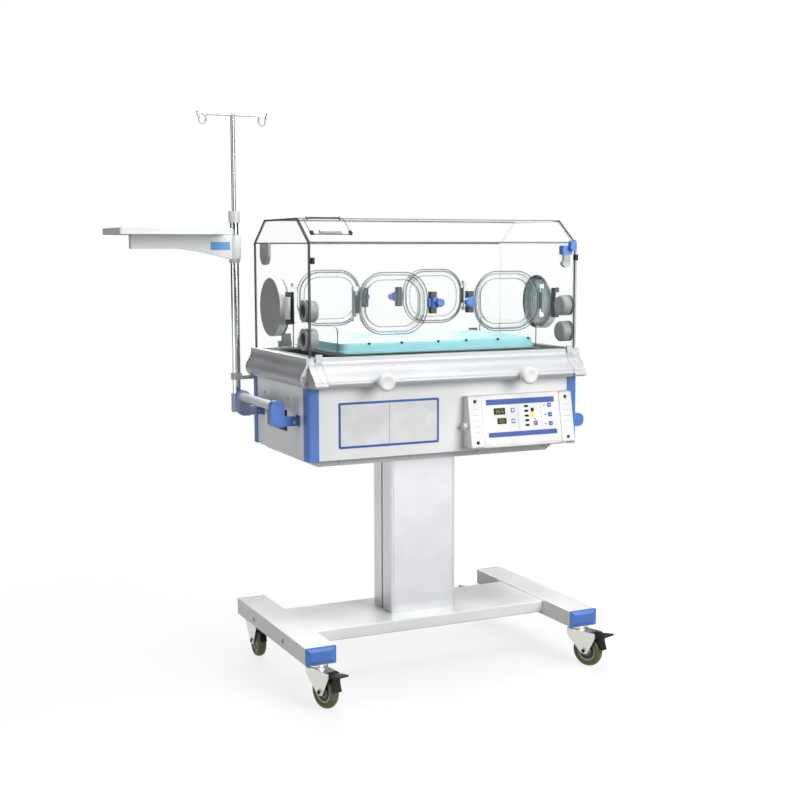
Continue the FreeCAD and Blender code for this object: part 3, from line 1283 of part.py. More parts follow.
def build():
    parts = {
        "base_frame": base_frame(),
        "end_caps": end_caps(),
        "caster_heads": caster_heads(),
        "column": column(),
        "cabinet_shell": cabinet_shell(),
        "air_filter": air_filter(),
        "floor_pan": floor_pan(),
        "corner_posts": corner_posts(),
        "handle_lugs": handle_lugs(),
        "left_handle": handle(-1, False),
        "right_handle": handle(1, True),
        "control_housing": control_housing(),
        "control_covers": control_covers(),
        "control_fascia": control_fascia(),
        "clamp_knob": clamp_knob(),
        "rails": rails(),
        "rail_castings": group(rail_corners() + hinge_lugs()),
        "panel_arms": panel_arms(),
        "front_panel": front_panel(),
        "front_port_mounts": port_mounts(),
        "rear_port_mounts": to_rear(port_mounts()),
        "panel_latch": panel_latch(),
        "hood_canopy": hood_canopy(),
        "hood_fittings": hood_fittings(),
        "hatch": hatch(),
        "deck": deck(),
        "mattress_tray": mattress_tray(),
        "mattress": mattress(),
        "pole_tube": pole_tube(),
        "pole_brackets": pole_brackets(),
        "iv_rod": iv_rod(),
        "shelf": shelf(),
        "fan_motor": fan_motor(),
        "fan_impeller": fan_impeller(),
        "heater": heater(),
        "water_tank": water_tank(),
    }
    for side, word in ((-1, "left"), (1, "right")):
        parts[f"{word}_tilt_knob"] = tilt_knob(side)
        parts[f"{word}_end_door"] = end_door(side)
        parts[f"front_{word}_door"] = hand_door(side, port_pin_x(side))
        parts[f"rear_{word}_door"] = to_rear(hand_door(side, port_pin_x(side)))
        parts[f"front_{word}_latch"] = port_latch(side)
        parts[f"rear_{word}_latch"] = to_rear(port_latch(side))
    for name in HEADINGS:
        parts[f"fork_{name}"] = place_caster(fork(), name)
        parts[f"wheel_{name}"] = place_caster(wheel(), name)
        parts[f"pedal_{name}"] = place_caster(pedal(), name)
    return parts


if __name__ == "__main__":
    os.makedirs("parts", exist_ok=True)
    for node, shape in build().items():
        shape.exportStep(f"parts/{node}.step")
        print(node, len(shape.Solids), round(shape.Volume), shape.isValid())
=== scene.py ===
# %% [markdown]
# # An infant incubator, dressed for the camera
# The solid model of the incubator is already made and packed. This lesson gives it its looks: the
# finish of every surface, the mattress as a real sewn pad, and the small things that are too fine
# for the solid model, such as screws, gaskets, keys and lamps. Everything is in metres, +Z is up
# and the front of the incubator faces -Y.

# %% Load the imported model
import math

import bpy
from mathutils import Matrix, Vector


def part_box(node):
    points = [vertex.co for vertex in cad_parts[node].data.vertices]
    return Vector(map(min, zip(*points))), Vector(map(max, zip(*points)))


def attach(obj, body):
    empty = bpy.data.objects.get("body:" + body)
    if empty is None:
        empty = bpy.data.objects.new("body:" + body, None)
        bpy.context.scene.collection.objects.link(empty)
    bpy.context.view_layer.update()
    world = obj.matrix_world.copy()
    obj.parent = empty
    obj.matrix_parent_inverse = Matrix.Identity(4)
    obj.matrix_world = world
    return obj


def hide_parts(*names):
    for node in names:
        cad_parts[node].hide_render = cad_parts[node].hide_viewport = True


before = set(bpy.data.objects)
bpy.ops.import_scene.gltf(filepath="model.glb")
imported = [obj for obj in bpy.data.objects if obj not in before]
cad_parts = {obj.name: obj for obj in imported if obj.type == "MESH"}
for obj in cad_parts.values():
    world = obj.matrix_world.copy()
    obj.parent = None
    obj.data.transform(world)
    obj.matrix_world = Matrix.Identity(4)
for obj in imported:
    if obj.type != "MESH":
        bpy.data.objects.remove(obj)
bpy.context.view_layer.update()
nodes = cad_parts

# %% [markdown]
# The camera stands a little to the left of the incubator and just below the hood's top, as a
# photographer would who wants both the front and the left side. A long lens keeps the upright
# edges upright.

# %% Camera
camera = bpy.data.objects.new("camera", bpy.data.cameras.new("camera"))
camera.data.sensor_width = 36
camera.data.lens = 58.61
camera.data.clip_end = 200
camera.location = (-1.7434, -3.5706, 1.2688)
camera.rotation_euler = (math.radians(83.45), math.radians(0.107), math.radians(-25.414))
bpy.context.scene.collection.objects.link(camera)
bpy.context.scene.camera = camera
print("camera", [round(value, 2) for value in camera.location], "lens", camera.data.lens, "mm")

# %% [markdown]
# White things on a white ground need soft, even light that still tells one side from the next. A
# broad panel hangs overhead, one stands at the right front and lights the front face fully, a weaker
# one fills the left side, and one behind shines through the hood.

# %% Lamps and world
def panel_lamp(name, place, aim, size, power):
    lamp = bpy.data.objects.new(name, bpy.data.lights.new(name, "AREA"))
    lamp.data.shape = "RECTANGLE"
    lamp.data.size, lamp.data.size_y = size
    lamp.data.energy = power
    lamp.location = place
    lamp.rotation_euler = (Vector(aim) - Vector(place)).to_track_quat("-Z", "Y").to_euler()
    bpy.context.scene.collection.objects.link(lamp)


panel_lamp("lamp_top", (0.3, -0.6, 3.6), (0, 0, 0.9), (3.0, 2.4), 104)
panel_lamp("lamp_front", (1.4, -3.6, 1.9), (0, 0, 0.9), (2.2, 2.0), 116)
panel_lamp("lamp_left", (-4.2, -0.8, 1.2), (0, 0, 0.8), (2.6, 3.2), 54)
panel_lamp("lamp_back", (0.6, 3.0, 2.6), (0, 0, 1.0), (2.4, 1.6), 80)

bpy.context.scene.view_settings.view_transform = "Standard"
world = bpy.data.worlds.new("studio")
world.use_nodes = True
bpy.context.scene.world = world
print("lamps", [lamp.name for lamp in bpy.data.lights])

# %% [markdown]
# ## Shader maths in plain Python
# A shader's patterns are sums of node sockets. This small class wraps one socket, so that a sum
# written with + - * and / adds the Math nodes by itself. Every other kind of node comes from its
# `node` method: first the settings, then the values or links of the sockets.

# %% A socket that can be calculated with
class Wire:
    def __init__(self, tree, socket=None):
        self.tree, self.socket = tree, socket

    def node(self, kind, settings=None, inputs=None, out=0):
        made = self.tree.nodes.new("ShaderNode" + kind)
        for name, value in (settings or {}).items():
            if name == "stops":
                ramp = made.color_ramp.elements
                while len(ramp) < len(value):
                    ramp.new(1)
                for stop, (place, colour) in zip(ramp, value):
                    stop.position, stop.color = place, colour
            else:
                setattr(made, name, value)
        for name, value in (inputs or {}).items():
            if isinstance(value, Wire):
                self.tree.links.new(value.socket, made.inputs[name])
            else:
                made.inputs[name].default_value = value
        return Wire(self.tree, made.outputs[out])

    def math(self, operation, *values):
        return self.node("Math", {"operation": operation}, dict(enumerate(values)))

    def __add__(self, other):
        return self.math("ADD", self, other)

    def __sub__(self, other):
        return self.math("SUBTRACT", self, other)

    def __rsub__(self, other):
        return self.math("SUBTRACT", other, self)

    def __mul__(self, other):
        return self.math("MULTIPLY", self, other)

    def __truediv__(self, other):
        return self.math("DIVIDE", self, other)

    __radd__, __rmul__ = __add__, __mul__

    def least(self, other):
        return self.math("MINIMUM", self, other)

    def most(self, other):
        return self.math("MAXIMUM", self, other)

    def size(self):
        return self.math("ABSOLUTE", self)

    def ramp(self, low, high, start=0.0, end=1.0):
        """Goes smoothly from start to end while this value goes from low to high."""
        return self.node("MapRange", {"interpolation_type": "SMOOTHSTEP"},
                         {"Value": self, "From Min": low, "From Max": high, "To Min": start, "To Max": end})

    def mix(self, first, second):
        """The first colour where this value is 0, the second where it is 1."""
        return self.node("Mix", {"data_type": "RGBA"}, {0: self, 6: first, 7: second}, out=2)


# %% [markdown]
# A finish starts from the piece's own coordinates, so a pattern has its real size in metres and
# moves with the piece. `noise` gives clouds of one size, `split` gives x, y and z, and `edges`
# finds the rounded corners of a shape, where paint and plastic wear first.

# %% The start of every finish
class Finish:
    def __init__(self, name, colour, roughness, **constants):
        self.material = bpy.data.materials.new(name)
        self.material.use_nodes = True
        self.tree = self.material.node_tree
        self.shader = self.tree.nodes["Principled BSDF"]
        self.shader.inputs["Base Color"].default_value = (*colour, 1)
        self.shader.inputs["Roughness"].default_value = roughness
        for socket, value in constants.items():
            self.shader.inputs[socket.replace("_", " ")].default_value = value
        self.colour = (*colour, 1)
        self.wire = Wire(self.tree)
        self.place = self.wire.node("TexCoord", out=3)

    def noise(self, size, detail=3, stretch=(1, 1, 1)):
        vector = self.place
        if stretch != (1, 1, 1):
            vector = self.wire.node("Mapping", inputs={"Vector": self.place, "Scale": stretch})
        return self.wire.node("TexNoise", inputs={"Vector": vector, "Scale": 1 / size, "Detail": detail})

    def split(self):
        return [self.wire.node("SeparateXYZ", inputs={0: self.place}, out=i) for i in range(3)]

    def edges(self, radius=0.0012):
        soft = self.wire.node("Bevel", {"samples": 4}, {"Radius": radius})
        flat = self.wire.node("NewGeometry", out=1)
        turned = self.wire.node("VectorMath", {"operation": "DOT_PRODUCT"}, {0: soft, 1: flat}, out=1)
        return soft, (1 - turned).ramp(0.02, 0.3)

    def feed(self, socket, value):
        self.tree.links.new(value.socket, self.shader.inputs[socket])

    def bump(self, height, depth, strength=1.0, normal=None):
        inputs = {"Height": height, "Distance": depth, "Strength": strength}
        if normal:
            inputs["Normal"] = normal
        self.feed("Normal", self.wire.node("Bump", inputs=inputs))


def shade(colour, factor):
    """A colour made lighter or darker."""
    return (*[min(1, c * factor) for c in colour[:3]], 1)


# %% [markdown]
# ## The sky of the studio
# The surroundings are a smooth dome, bright above and at the right front, and dark at the left and
# below. It gives each side of the cabinet its own tone and puts dark stripes into tubes and silver
# paint, which is what makes metal look like metal.

# %% Dome of light
sky = world.node_tree
bearing = Wire(sky, sky.nodes.new("ShaderNodeTexCoord").outputs["Generated"])
across, depth, height = (bearing.node("SeparateXYZ", inputs={0: bearing}, out=i) for i in range(3))
bright = (across * 0.62 - depth * 0.38 + height * 0.68).ramp(-0.75, 0.95, 0.2, 1.9)
sky.links.new(bright.socket, sky.nodes["Background"].inputs["Strength"])
print("sky made of", len(sky.nodes), "nodes")

# %% [markdown]
# ## Powder coat
# The cabinet, the feet and the cross beam are steel with a baked powder coat. It is never quite
# flat: the melted powder leaves a faint orange peel about 2 mm across, and handling leaves soft
# patches that shine a little more or less.

# %% Powder coat
def powder_coat(name, colour, roughness=0.34):
    made = Finish(name, colour, roughness, Coat_Weight=0.25, Coat_Roughness=0.2)
    cloud, peel = made.noise(0.22, 4), made.noise(0.0022, 2)
    soft, edge = made.edges()
    tone = cloud.ramp(0.35, 0.7).mix(shade(colour, 0.965), shade(colour, 1.02))
    made.feed("Base Color", (edge * 0.5).mix(tone, shade(colour, 1.06)))
    made.feed("Roughness", cloud.ramp(0.3, 0.7, roughness - 0.05, roughness + 0.09))
    made.bump(peel, 0.00006, 0.5, soft)
    return made.material


white_coat = powder_coat("white_powder_coat", (0.92, 0.93, 0.93))
grey_coat = powder_coat("grey_powder_coat", (0.50, 0.51, 0.52), 0.42)
shelf_coat = powder_coat("shelf_coat", (0.86, 0.87, 0.87), 0.4)

# %% [markdown]
# ## Moulded plastic
# Moulded pieces copy the texture that is etched into their steel mould, a grain of half a
# millimetre. Their edges get polished by hands, so the rounded edges are a little lighter and
# smoother.

# %% Moulded plastic
def moulded(name, colour, roughness=0.42, grain=0.00005, **constants):
    made = Finish(name, colour, roughness, **constants)
    cloud, fine = made.noise(0.09, 3), made.noise(0.0006, 2)
    soft, edge = made.edges(0.001)
    tone = cloud.ramp(0.35, 0.7).mix(shade(colour, 0.93), shade(colour, 1.05))
    made.feed("Base Color", (edge * 0.45).mix(tone, shade(colour, 1.25)))
    made.feed("Roughness", fine.ramp(0.3, 0.7, roughness - 0.06, roughness + 0.08))
    made.bump(fine, grain, 0.6, soft)
    return made.material


blue_plastic = moulded("blue_plastic", (0.078, 0.215, 0.63))
white_plastic = moulded("white_plastic", (0.80, 0.81, 0.80), 0.34)
grey_plastic = moulded("grey_plastic", (0.27, 0.28, 0.28), 0.5)
black_plastic = moulded("black_plastic", (0.006, 0.006, 0.007), 0.5, Specular_IOR_Level=0.3)
dark_deck = moulded("dark_deck", (0.03, 0.034, 0.036), 0.5, 0.0001)
navy_mesh = moulded("navy_mesh", (0.012, 0.03, 0.13), 0.7, 0.0002)
light_grey_plastic = moulded("light_grey_plastic", (0.62, 0.63, 0.63), 0.38)

# %% [markdown]
# ## Metals
# Four metals meet here. The rail is painted in a silver lacquer with fine flakes, the column is an
# anodised extrusion whose grain runs up its length, the caster forks are zinc plated and slightly
# cloudy, and the pole is polished tube. Stretching a noise along one axis draws the grain.

# %% Metals
def metal(name, colour, roughness, stretch, size, depth=0.00002, **constants):
    made = Finish(name, colour, roughness, Metallic=1.0, **constants)
    grain, cloud = made.noise(size, 3, stretch), made.noise(0.07, 4)
    soft, edge = made.edges(0.0008)
    tone = cloud.ramp(0.3, 0.7).mix(shade(colour, 0.96), shade(colour, 1.02))
    made.feed("Base Color", (edge * 0.6).mix(tone, shade(colour, 1.15)))
    streaks, patches = grain.ramp(0.25, 0.75, -0.07, 0.09), cloud.ramp(0.3, 0.7, -0.01, 0.02)
    made.feed("Roughness", streaks + patches + roughness)
    made.bump(grain, depth, 0.5, soft)
    return made.material


anodised = metal("anodised_column", (0.64, 0.65, 0.67), 0.4, (1, 1, 0.01), 0.0012)
chrome = metal("polished_tube", (0.50, 0.51, 0.53), 0.14, (1, 1, 1), 0.05, 0.000005)
rod_steel = metal("rod_steel", (0.36, 0.37, 0.38), 0.3, (1, 1, 1), 0.05, 0.000005)
zinc = metal("zinc_plate", (0.72, 0.72, 0.68), 0.36, (1, 1, 1), 0.003)
# The screw steel is darker than bare steel: partly its own colour, partly painted shade standing in for the
# shadow ring round each screw and bolt head.
steel = metal("screw_steel", (0.30, 0.30, 0.30), 0.3, (1, 1, 1), 0.0015)

# %% [markdown]
# The rail and its cast corners are sprayed with silver lacquer: pigment with fine metal flakes under
# a thin clear coat. Half a metal, half a paint, it is rougher than chrome, and the flakes are a noise
# less than a millimetre wide.

# %% Silver lacquer of the rail
def silver_lacquer(name, colour):
    made = Finish(name, colour, 0.42, Metallic=0.3, Coat_Weight=0.1, Coat_Roughness=0.12)
    flake, cloud = made.noise(0.0007, 1), made.noise(0.3, 2)
    soft, edge = made.edges(0.0012)
    tone = flake.ramp(0.35, 0.7).mix(shade(colour, 0.93), shade(colour, 1.07))
    made.feed("Base Color", (edge * 0.4).mix(tone, shade(colour, 1.12)))
    made.feed("Roughness", cloud.ramp(0.3, 0.7, 0.42, 0.46))
    made.bump(flake, 0.00002, 0.3, soft)
    return made.material


rail_silver = silver_lacquer("rail_silver", (0.50, 0.51, 0.53))
print("finishes so far:", ", ".join(sorted(finish.name for finish in bpy.data.materials if finish.users)))

# %% [markdown]
# ## Tyres
# The tyre is olive polyurethane on a pale hub. Both are one solid in the model, so the finish
# tells them apart by the distance from the axle: beyond the rim it is tyre. The tread picks up
# dust, which settles in a faint band.

# %% Tyres, one finish for each wheel because each axle stands elsewhere
def wheel_finish(name, node):
    low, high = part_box(node)
    centre = (low + high) / 2
    made = Finish(name, (0.13, 0.14, 0.045), 0.5)
    x, y, z = made.split()
    across, up = x - centre.x, y - centre.y
    radius = made.wire.math("SQRT", across * across + up * up + (z - centre.z) * (z - centre.z))
    rim = radius.ramp(0.0345, 0.0352)
    dust, speck = made.noise(0.012, 4), made.noise(0.0015, 2)
    rubber = dust.ramp(0.4, 0.75).mix((0.115, 0.125, 0.035, 1), (0.19, 0.19, 0.08, 1))
    hub = dust.ramp(0.3, 0.8).mix((0.70, 0.70, 0.67, 1), (0.58, 0.58, 0.55, 1))
    # A near-black ring in the hub, between 20 and 30 mm from the axle, is painted shade of the hub's recess.
    hub_recess_shade = radius.ramp(0.0195, 0.0205) * radius.ramp(0.0305, 0.0295)
    hub = hub_recess_shade.mix(hub, (0.02, 0.02, 0.021, 1))
    made.feed("Base Color", rim.mix(hub, rubber))
    made.feed("Roughness", speck.ramp(0.3, 0.7, 0.42, 0.6))
    made.bump(speck, 0.0001, 0.5)
    return made.material


# %% [markdown]
# ## Clear acrylic
# Cast acrylic sheet is almost invisible face on, and its sawn edges look dark because the light
# inside the sheet leaves it elsewhere. So the finish is mostly see-through, a little stronger at
# grazing angles, and turns dark and solid where two outer faces of the hood meet.

# %% Clear acrylic
def acrylic(name, edge_mask=None, tint=(0.86, 0.93, 0.93), clear=0.012, grazed=0.22,
            edge_colour=(0.002, 0.0022, 0.0024)):
    made = Finish(name, tint, 0.03, IOR=1.49, Specular_IOR_Level=0.3)
    grazing = made.wire.node("LayerWeight", inputs={"Blend": 0.25}, out=1)
    smear = made.noise(0.06, 4)
    opacity = grazing.ramp(0.35, 1.0, clear, grazed) + smear.ramp(0.55, 0.8, 0.0, 0.008)
    rough = smear.ramp(0.4, 0.75, 0.02, 0.09)
    if edge_mask:
        mask = edge_mask(made)
        rough = rough.most(mask * 0.9)
        made.feed("Base Color", mask.least(1).mix(made.colour, (*edge_colour, 1)))
        opacity = opacity.most(mask)
    made.feed("Roughness", rough)
    made.feed("Alpha", opacity)
    return made.material


# %% [markdown]
# The hood is bonded from six sheets. A sawn edge shows only where it faces outwards: round the two
# end walls, where it is almost black, and more weakly along the long joints. Each sheet's outer face
# is a plane, and a point near two planes at once is on an edge.

# %% Where the sheets meet
HOOD_X, HOOD_Y, HOOD_FOOT, SHOULDER, HOOD_TOP = 0.432, 0.226, 0.974, 1.292, 1.360
TOP_FRONT, TOP_REAR, SHEET = -0.135, 0.131, 0.006


def profile_planes(y, z):
    """Distances in from the outer faces of the hood's profile: walls, top and slopes."""
    rise = HOOD_TOP - SHOULDER
    planes = [HOOD_Y - y, HOOD_Y + y, HOOD_TOP - z]
    for sign, run in ((-1, TOP_FRONT + HOOD_Y), (1, HOOD_Y - TOP_REAR)):
        length = math.hypot(run, rise)
        reach = (HOOD_Y * rise + SHOULDER * run) / length
        planes.append(reach - y * (sign * rise / length) - z * (run / length))
    return planes


def hood_edges(made):
    x, y, z = made.split()
    planes = profile_planes(y, z)
    nearest, second = planes[0], None
    for plane in planes[1:]:
        further = nearest.most(plane)
        second = further if second is None else second.least(further)
        nearest = nearest.least(plane)
    end = (x.size() - (HOOD_X - SHEET)).ramp(-0.0002, 0.0002)
    rim = end * nearest.ramp(SHEET, SHEET * 0.85)
    away = x.ramp(0.2, 0.3) * y.ramp(-0.12, -0.09)
    joint = (1 - end) * second.ramp(0.003, 0.0022) * 0.85
    return rim * (0.95 - away * 0.8) + joint


def rims(made, axis, strength=0.9, above=0.0):
    """Faces of a sheet that don't look along its own axis: its sawn edges."""
    facing = made.wire.node("TexCoord", out=1)
    along = made.wire.node("SeparateXYZ", inputs={0: facing}, out=axis).size()
    height = made.split()[2]
    return along.ramp(0.75, 0.6) * height.ramp(above, above + 0.001) * strength


hood_clear = acrylic("hood_acrylic", hood_edges)
panel_clear = acrylic("panel_acrylic", lambda made: rims(made, 1, 0.55))
guard_clear = acrylic("guard_acrylic", lambda made: rims(made, 0, 0.9, 0.9745), clear=0.03)
port_clear = acrylic("port_acrylic", lambda made: rims(made, 1, 0.4), clear=0.05, tint=(0.62, 0.78, 0.77),
                     edge_colour=(0.16, 0.22, 0.22))
hatch_clear = acrylic("hatch_acrylic", lambda made: rims(made, 2, 0.9), clear=0.03)
tank_clear = acrylic("tank_acrylic", clear=0.25, tint=(0.75, 0.82, 0.85))

# %% [markdown]
# ## Two-tone pieces
# Some moulded pieces change colour at a line, because in the real thing a grip or a ring is clipped
# into them. The line is a place in the piece's own coordinates, and the two colours share one grain.

# %% Two-tone plastic
def two_tone(name, colour, other, mask, roughness=0.4):
    made = Finish(name, colour, roughness)
    cloud, fine = made.noise(0.09, 3), made.noise(0.0006, 2)
    soft, edge = made.edges(0.001)
    here = mask(*made.split())
    first = cloud.ramp(0.35, 0.7).mix(shade(colour, 0.94), shade(colour, 1.05))
    second = cloud.ramp(0.35, 0.7).mix(shade(other, 0.94), shade(other, 1.05))
    worn = here.mix(shade(colour, 1.25), shade(other, 1.2))
    made.feed("Base Color", (edge * 0.4).mix(here.mix(first, second), worn))
    made.feed("Roughness", fine.ramp(0.3, 0.7, roughness - 0.06, roughness + 0.08))
    made.bump(fine, 0.00005, 0.6, soft)
    return made.material


BLUE, WHITE, GREY, DARK = (0.078, 0.215, 0.63), (0.88, 0.89, 0.89), (0.33, 0.34, 0.34), (0.022, 0.023, 0.024)
handle_look = two_tone("handle_plastic", BLUE, WHITE, lambda x, y, z: y.size().ramp(0.1372, 0.1368))
latch_look = two_tone("latch_plastic", BLUE, (0.55, 0.57, 0.58), lambda x, y, z: z.ramp(1.2565, 1.2555))
door_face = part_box("right_end_door")[1].x


def end_door_grey(x, y, z):
    """The outer face of an end door, and what lies against the wall. The ring between stays white."""
    return x.size().ramp(door_face - 0.002, door_face - 0.0015).most(x.size().ramp(0.4405, 0.440))


def end_hinge_dark(x, y, z):
    """The hinge brackets of the end doors, among the grey fittings of the hood."""
    return y.ramp(-0.127, -0.126) * y.ramp(-0.08, -0.081) * z.ramp(1.05, 1.06) * z.ramp(1.16, 1.155)


door_look = two_tone("end_door_plastic", WHITE, GREY, end_door_grey)
mount_look = two_tone("mount_plastic", WHITE, DARK, lambda x, y, z: x.size().ramp(0.082, 0.08))
fitting_look = two_tone("fitting_plastic", GREY, DARK, end_hinge_dark)

# %% [markdown]
# ## Dressing the solid model
# The pieces of the solid model already have the right shape, so they only get their finish. One table
# says which finish goes on which pieces, which is easier to read and to change than sixty lines.

# %% Dress the solid model
looks = {
    white_coat: ("base_frame", "cabinet_shell"),
    grey_coat: ("floor_pan",),
    shelf_coat: ("shelf",),
    blue_plastic: ("end_caps", "corner_posts", "handle_lugs", "front_left_latch", "front_right_latch",
                   "rear_left_latch", "rear_right_latch"),
    handle_look: ("left_handle", "right_handle"),
    latch_look: ("panel_latch",),
    door_look: ("left_end_door", "right_end_door"),
    mount_look: ("front_port_mounts", "rear_port_mounts"),
    fitting_look: ("hood_fittings",),
    white_plastic: ("control_housing", "control_covers", "control_fascia", "clamp_knob", "left_tilt_knob",
                    "right_tilt_knob"),
    light_grey_plastic: ("pole_brackets",),
    dark_deck: ("deck", "fan_motor", "fan_impeller"),
    navy_mesh: ("air_filter",),
    black_plastic: ("pedal_fl", "pedal_fr", "pedal_rl", "pedal_rr"),
    anodised: ("column", "heater"),
    chrome: ("pole_tube",),
    rod_steel: ("iv_rod",),
    zinc: ("caster_heads", "fork_fl", "fork_fr", "fork_rl", "fork_rr"),
    rail_silver: ("rails", "rail_castings", "panel_arms"),
    hood_clear: ("hood_canopy",),
    panel_clear: ("front_panel",),
    port_clear: ("front_left_door", "front_right_door", "rear_left_door", "rear_right_door"),
    hatch_clear: ("hatch",),
    tank_clear: ("water_tank",),
    guard_clear: ("mattress_tray",),
}


def dress(node, finish):
    nodes[node].data.materials.clear()
    nodes[node].data.materials.append(finish)


for finish, names in looks.items():
    for name in names:
        dress(name, finish)
for corner in ("fl", "fr", "rl", "rr"):
    dress("wheel_" + corner, wheel_finish("wheel_" + corner, "wheel_" + corner))
print("dressed", sum(len(names) for names in looks.values()) + 4, "of", len(nodes), "nodes")

# %% [markdown]
# ## Tools for modelling
# Every new piece starts from a primitive and is worked in edit mode, as one would by hand.

# %% Modelling helpers
bpy.context.tool_settings.mesh_select_mode = (False, False, True)


def alone(*pieces):
    bpy.ops.object.select_all(action="DESELECT")
    for piece in pieces:
        piece.select_set(True)
    bpy.context.view_layer.objects.active = pieces[-1]


def pick(piece, test):
    alone(piece)
    mesh = piece.data
    mesh.vertices.foreach_set("select", [False] * len(mesh.vertices))
    mesh.edges.foreach_set("select", [False] * len(mesh.edges))
    mesh.polygons.foreach_set("select", [bool(test(face.center, face.normal)) for face in mesh.polygons])
    bpy.ops.object.mode_set(mode="EDIT")


def done():
    bpy.ops.object.mode_set(mode="OBJECT")


def apply(piece, kind, **settings):
    alone(piece)
    modifier = piece.modifiers.new("step", kind)
    for name, value in settings.items():
        setattr(modifier, name, value)
    bpy.ops.object.modifier_apply(modifier="step")


def round_edges(piece, width, segments=2):
    apply(piece, "BEVEL", width=width, segments=segments, limit_method="ANGLE")


def rounded_sheet(width, height, corner, segments):
    """A flat rectangle with rounded corners on z = 0, left in edit mode and selected all over."""
    bpy.ops.mesh.primitive_plane_add(size=1)
    bpy.ops.object.mode_set(mode="EDIT")
    bpy.ops.mesh.select_all(action="SELECT")
    bpy.ops.transform.resize(value=(width, height, 1))
    bpy.ops.mesh.bevel(offset=corner, segments=segments, affect="VERTICES")
    bpy.ops.mesh.select_all(action="SELECT")
    return bpy.context.object


def tile(width, height, thick, corner, segments=4):
    """A flat tile with rounded corners, its back on z = 0."""
    piece = rounded_sheet(width, height, corner, segments)
    bpy.ops.mesh.extrude_region_move(TRANSFORM_OT_translate={"value": (0, 0, thick)})
    bpy.ops.mesh.select_all(action="SELECT")
    bpy.ops.mesh.normals_make_consistent(inside=False)
    done()
    return piece


def spread(master, spots):
    """Copies of a master with its +Z turned to each spot's direction, joined into one piece."""
    copies = []
    for place, direction in spots:
        copy = master.copy()
        copy.data = master.data.copy()
        bpy.context.collection.objects.link(copy)
        copy.location = place
        copy.rotation_euler = Vector(direction).to_track_quat("Z", "Y").to_euler()
        copies.append(copy)
    bpy.data.objects.remove(master)
    alone(*copies)
    bpy.ops.object.join()
    return bpy.context.object


def keep(piece, name, finish, body):
    alone(piece)
    bpy.ops.object.transform_apply(location=True, rotation=True, scale=True)
    bpy.ops.object.shade_smooth_by_angle(angle=math.radians(35))
    piece.name = name
    piece.data.materials.clear()
    piece.data.materials.append(finish)
    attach(piece, body)
    print(name, len(piece.data.polygons), "faces on", body)
    return piece


LEFT, FRONT, REAR = (-1, 0, 0), (0, -1, 0), (0, 1, 0)
CABINET_SIDE, CABINET_FACE, PANEL_FACE = 0.4375, 0.2275, 0.2335


def mirrored(spots):
    """The spots and their mirror images on the other side of the incubator."""
    return spots + [((-x, y, z), (-i, j, k)) for (x, y, z), (i, j, k) in spots]


# %% [markdown]
# ## The mattress
# The mattress is a foam pad in a coated, welded cover. Air in the cover keeps it taut, so the faces
# bulge a little between the seams. That is what the cloth simulation does here: the plain block is
# remeshed into small even faces, pressed out from inside, and held still along its bottom edge. No
# point may move further than a few millimetres, which keeps the pad between its end guards.

# %% Blow up the pad
def cloth_pad(node, voxel, pressure, reach):
    pad = nodes[node].copy()
    pad.data = nodes[node].data.copy()
    bpy.context.collection.objects.link(pad)
    apply(pad, "REMESH", mode="VOXEL", voxel_size=voxel)
    before = [vertex.co.copy() for vertex in pad.data.vertices]
    floor_z = min(place.z for place in before)
    held = pad.vertex_groups.new(name="held")
    held.add([i for i, place in enumerate(before) if place.z < floor_z + voxel], 1.0, "REPLACE")
    cloth = pad.modifiers.new("blow", "CLOTH")
    cloth.settings.quality = 5
    cloth.settings.mass = 0.25
    cloth.settings.tension_stiffness = cloth.settings.compression_stiffness = 12
    cloth.settings.bending_stiffness = 0.2
    cloth.settings.use_pressure = True
    cloth.settings.uniform_pressure_force = pressure
    cloth.settings.vertex_group_mass = "held"
    cloth.settings.effector_weights.gravity = 0
    for step in range(1, 21):
        bpy.context.scene.frame_set(step)
    alone(pad)
    bpy.ops.object.modifier_apply(modifier="blow")
    for vertex, start in zip(pad.data.vertices, before):
        move = vertex.co - start
        vertex.co = start + move * min(1, reach / max(move.length, 1e-9))
    pad.vertex_groups.clear()
    apply(pad, "SUBSURF", levels=1, render_levels=1)
    return pad


pad_low, pad_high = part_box("mattress")
pad = cloth_pad("mattress", 0.0055, 4.0, 0.0032)
grown = [max(v.co[i] for v in pad.data.vertices) - pad_high[i] for i in range(3)]
print("the pad grew by", [round(1000 * g, 1) for g in grown], "mm")

# %% [markdown]
# A welded cover has no weave that shows from a metre away, only a fine leathery grain and shallow
# creases near the corners. Wiped surfaces are a little glossier than the rest.

# %% Coated fabric and the pad's last steps
def coated_fabric(name, colour):
    made = Finish(name, colour, 0.42, Coat_Weight=0.25, Coat_Roughness=0.3, Sheen_Weight=0.2)
    crease, cloud, grain = made.noise(0.05, 4, (1, 1, 2.5)), made.noise(0.13, 3), made.noise(0.0011, 2)
    made.feed("Base Color", cloud.ramp(0.3, 0.75).mix(shade(colour, 0.93), shade(colour, 1.08)))
    made.feed("Roughness", cloud.ramp(0.3, 0.7, 0.34, 0.5))
    made.bump(grain * 0.06 + crease, 0.0022, 0.55)
    return made.material


aqua = coated_fabric("aqua_cover", (0.27, 0.66, 0.69))
keep(pad, "mattress_cover", aqua, "tray")
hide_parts("mattress")

# %% [markdown]
# The cover's two halves are welded together near the bottom, which leaves a thin round piping, and a
# row of black press studs closes it along the front. The piping is the outline of a rounded
# rectangle, turned into a curve that gets a round section.

# %% Piping round the pad and its press studs
def oval_cord(width, height, corner, radius, segments=12):
    """A closed cord round a rounded rectangle in the XY plane."""
    rounded_sheet(width, height, corner, segments)
    bpy.ops.mesh.delete(type="ONLY_FACE")
    done()
    bpy.ops.object.convert(target="CURVE")
    curve = bpy.context.object
    curve.data.bevel_depth, curve.data.bevel_resolution = radius, 3
    curve.data.splines[0].use_cyclic_u = True
    bpy.ops.object.convert(target="MESH")
    return bpy.context.object


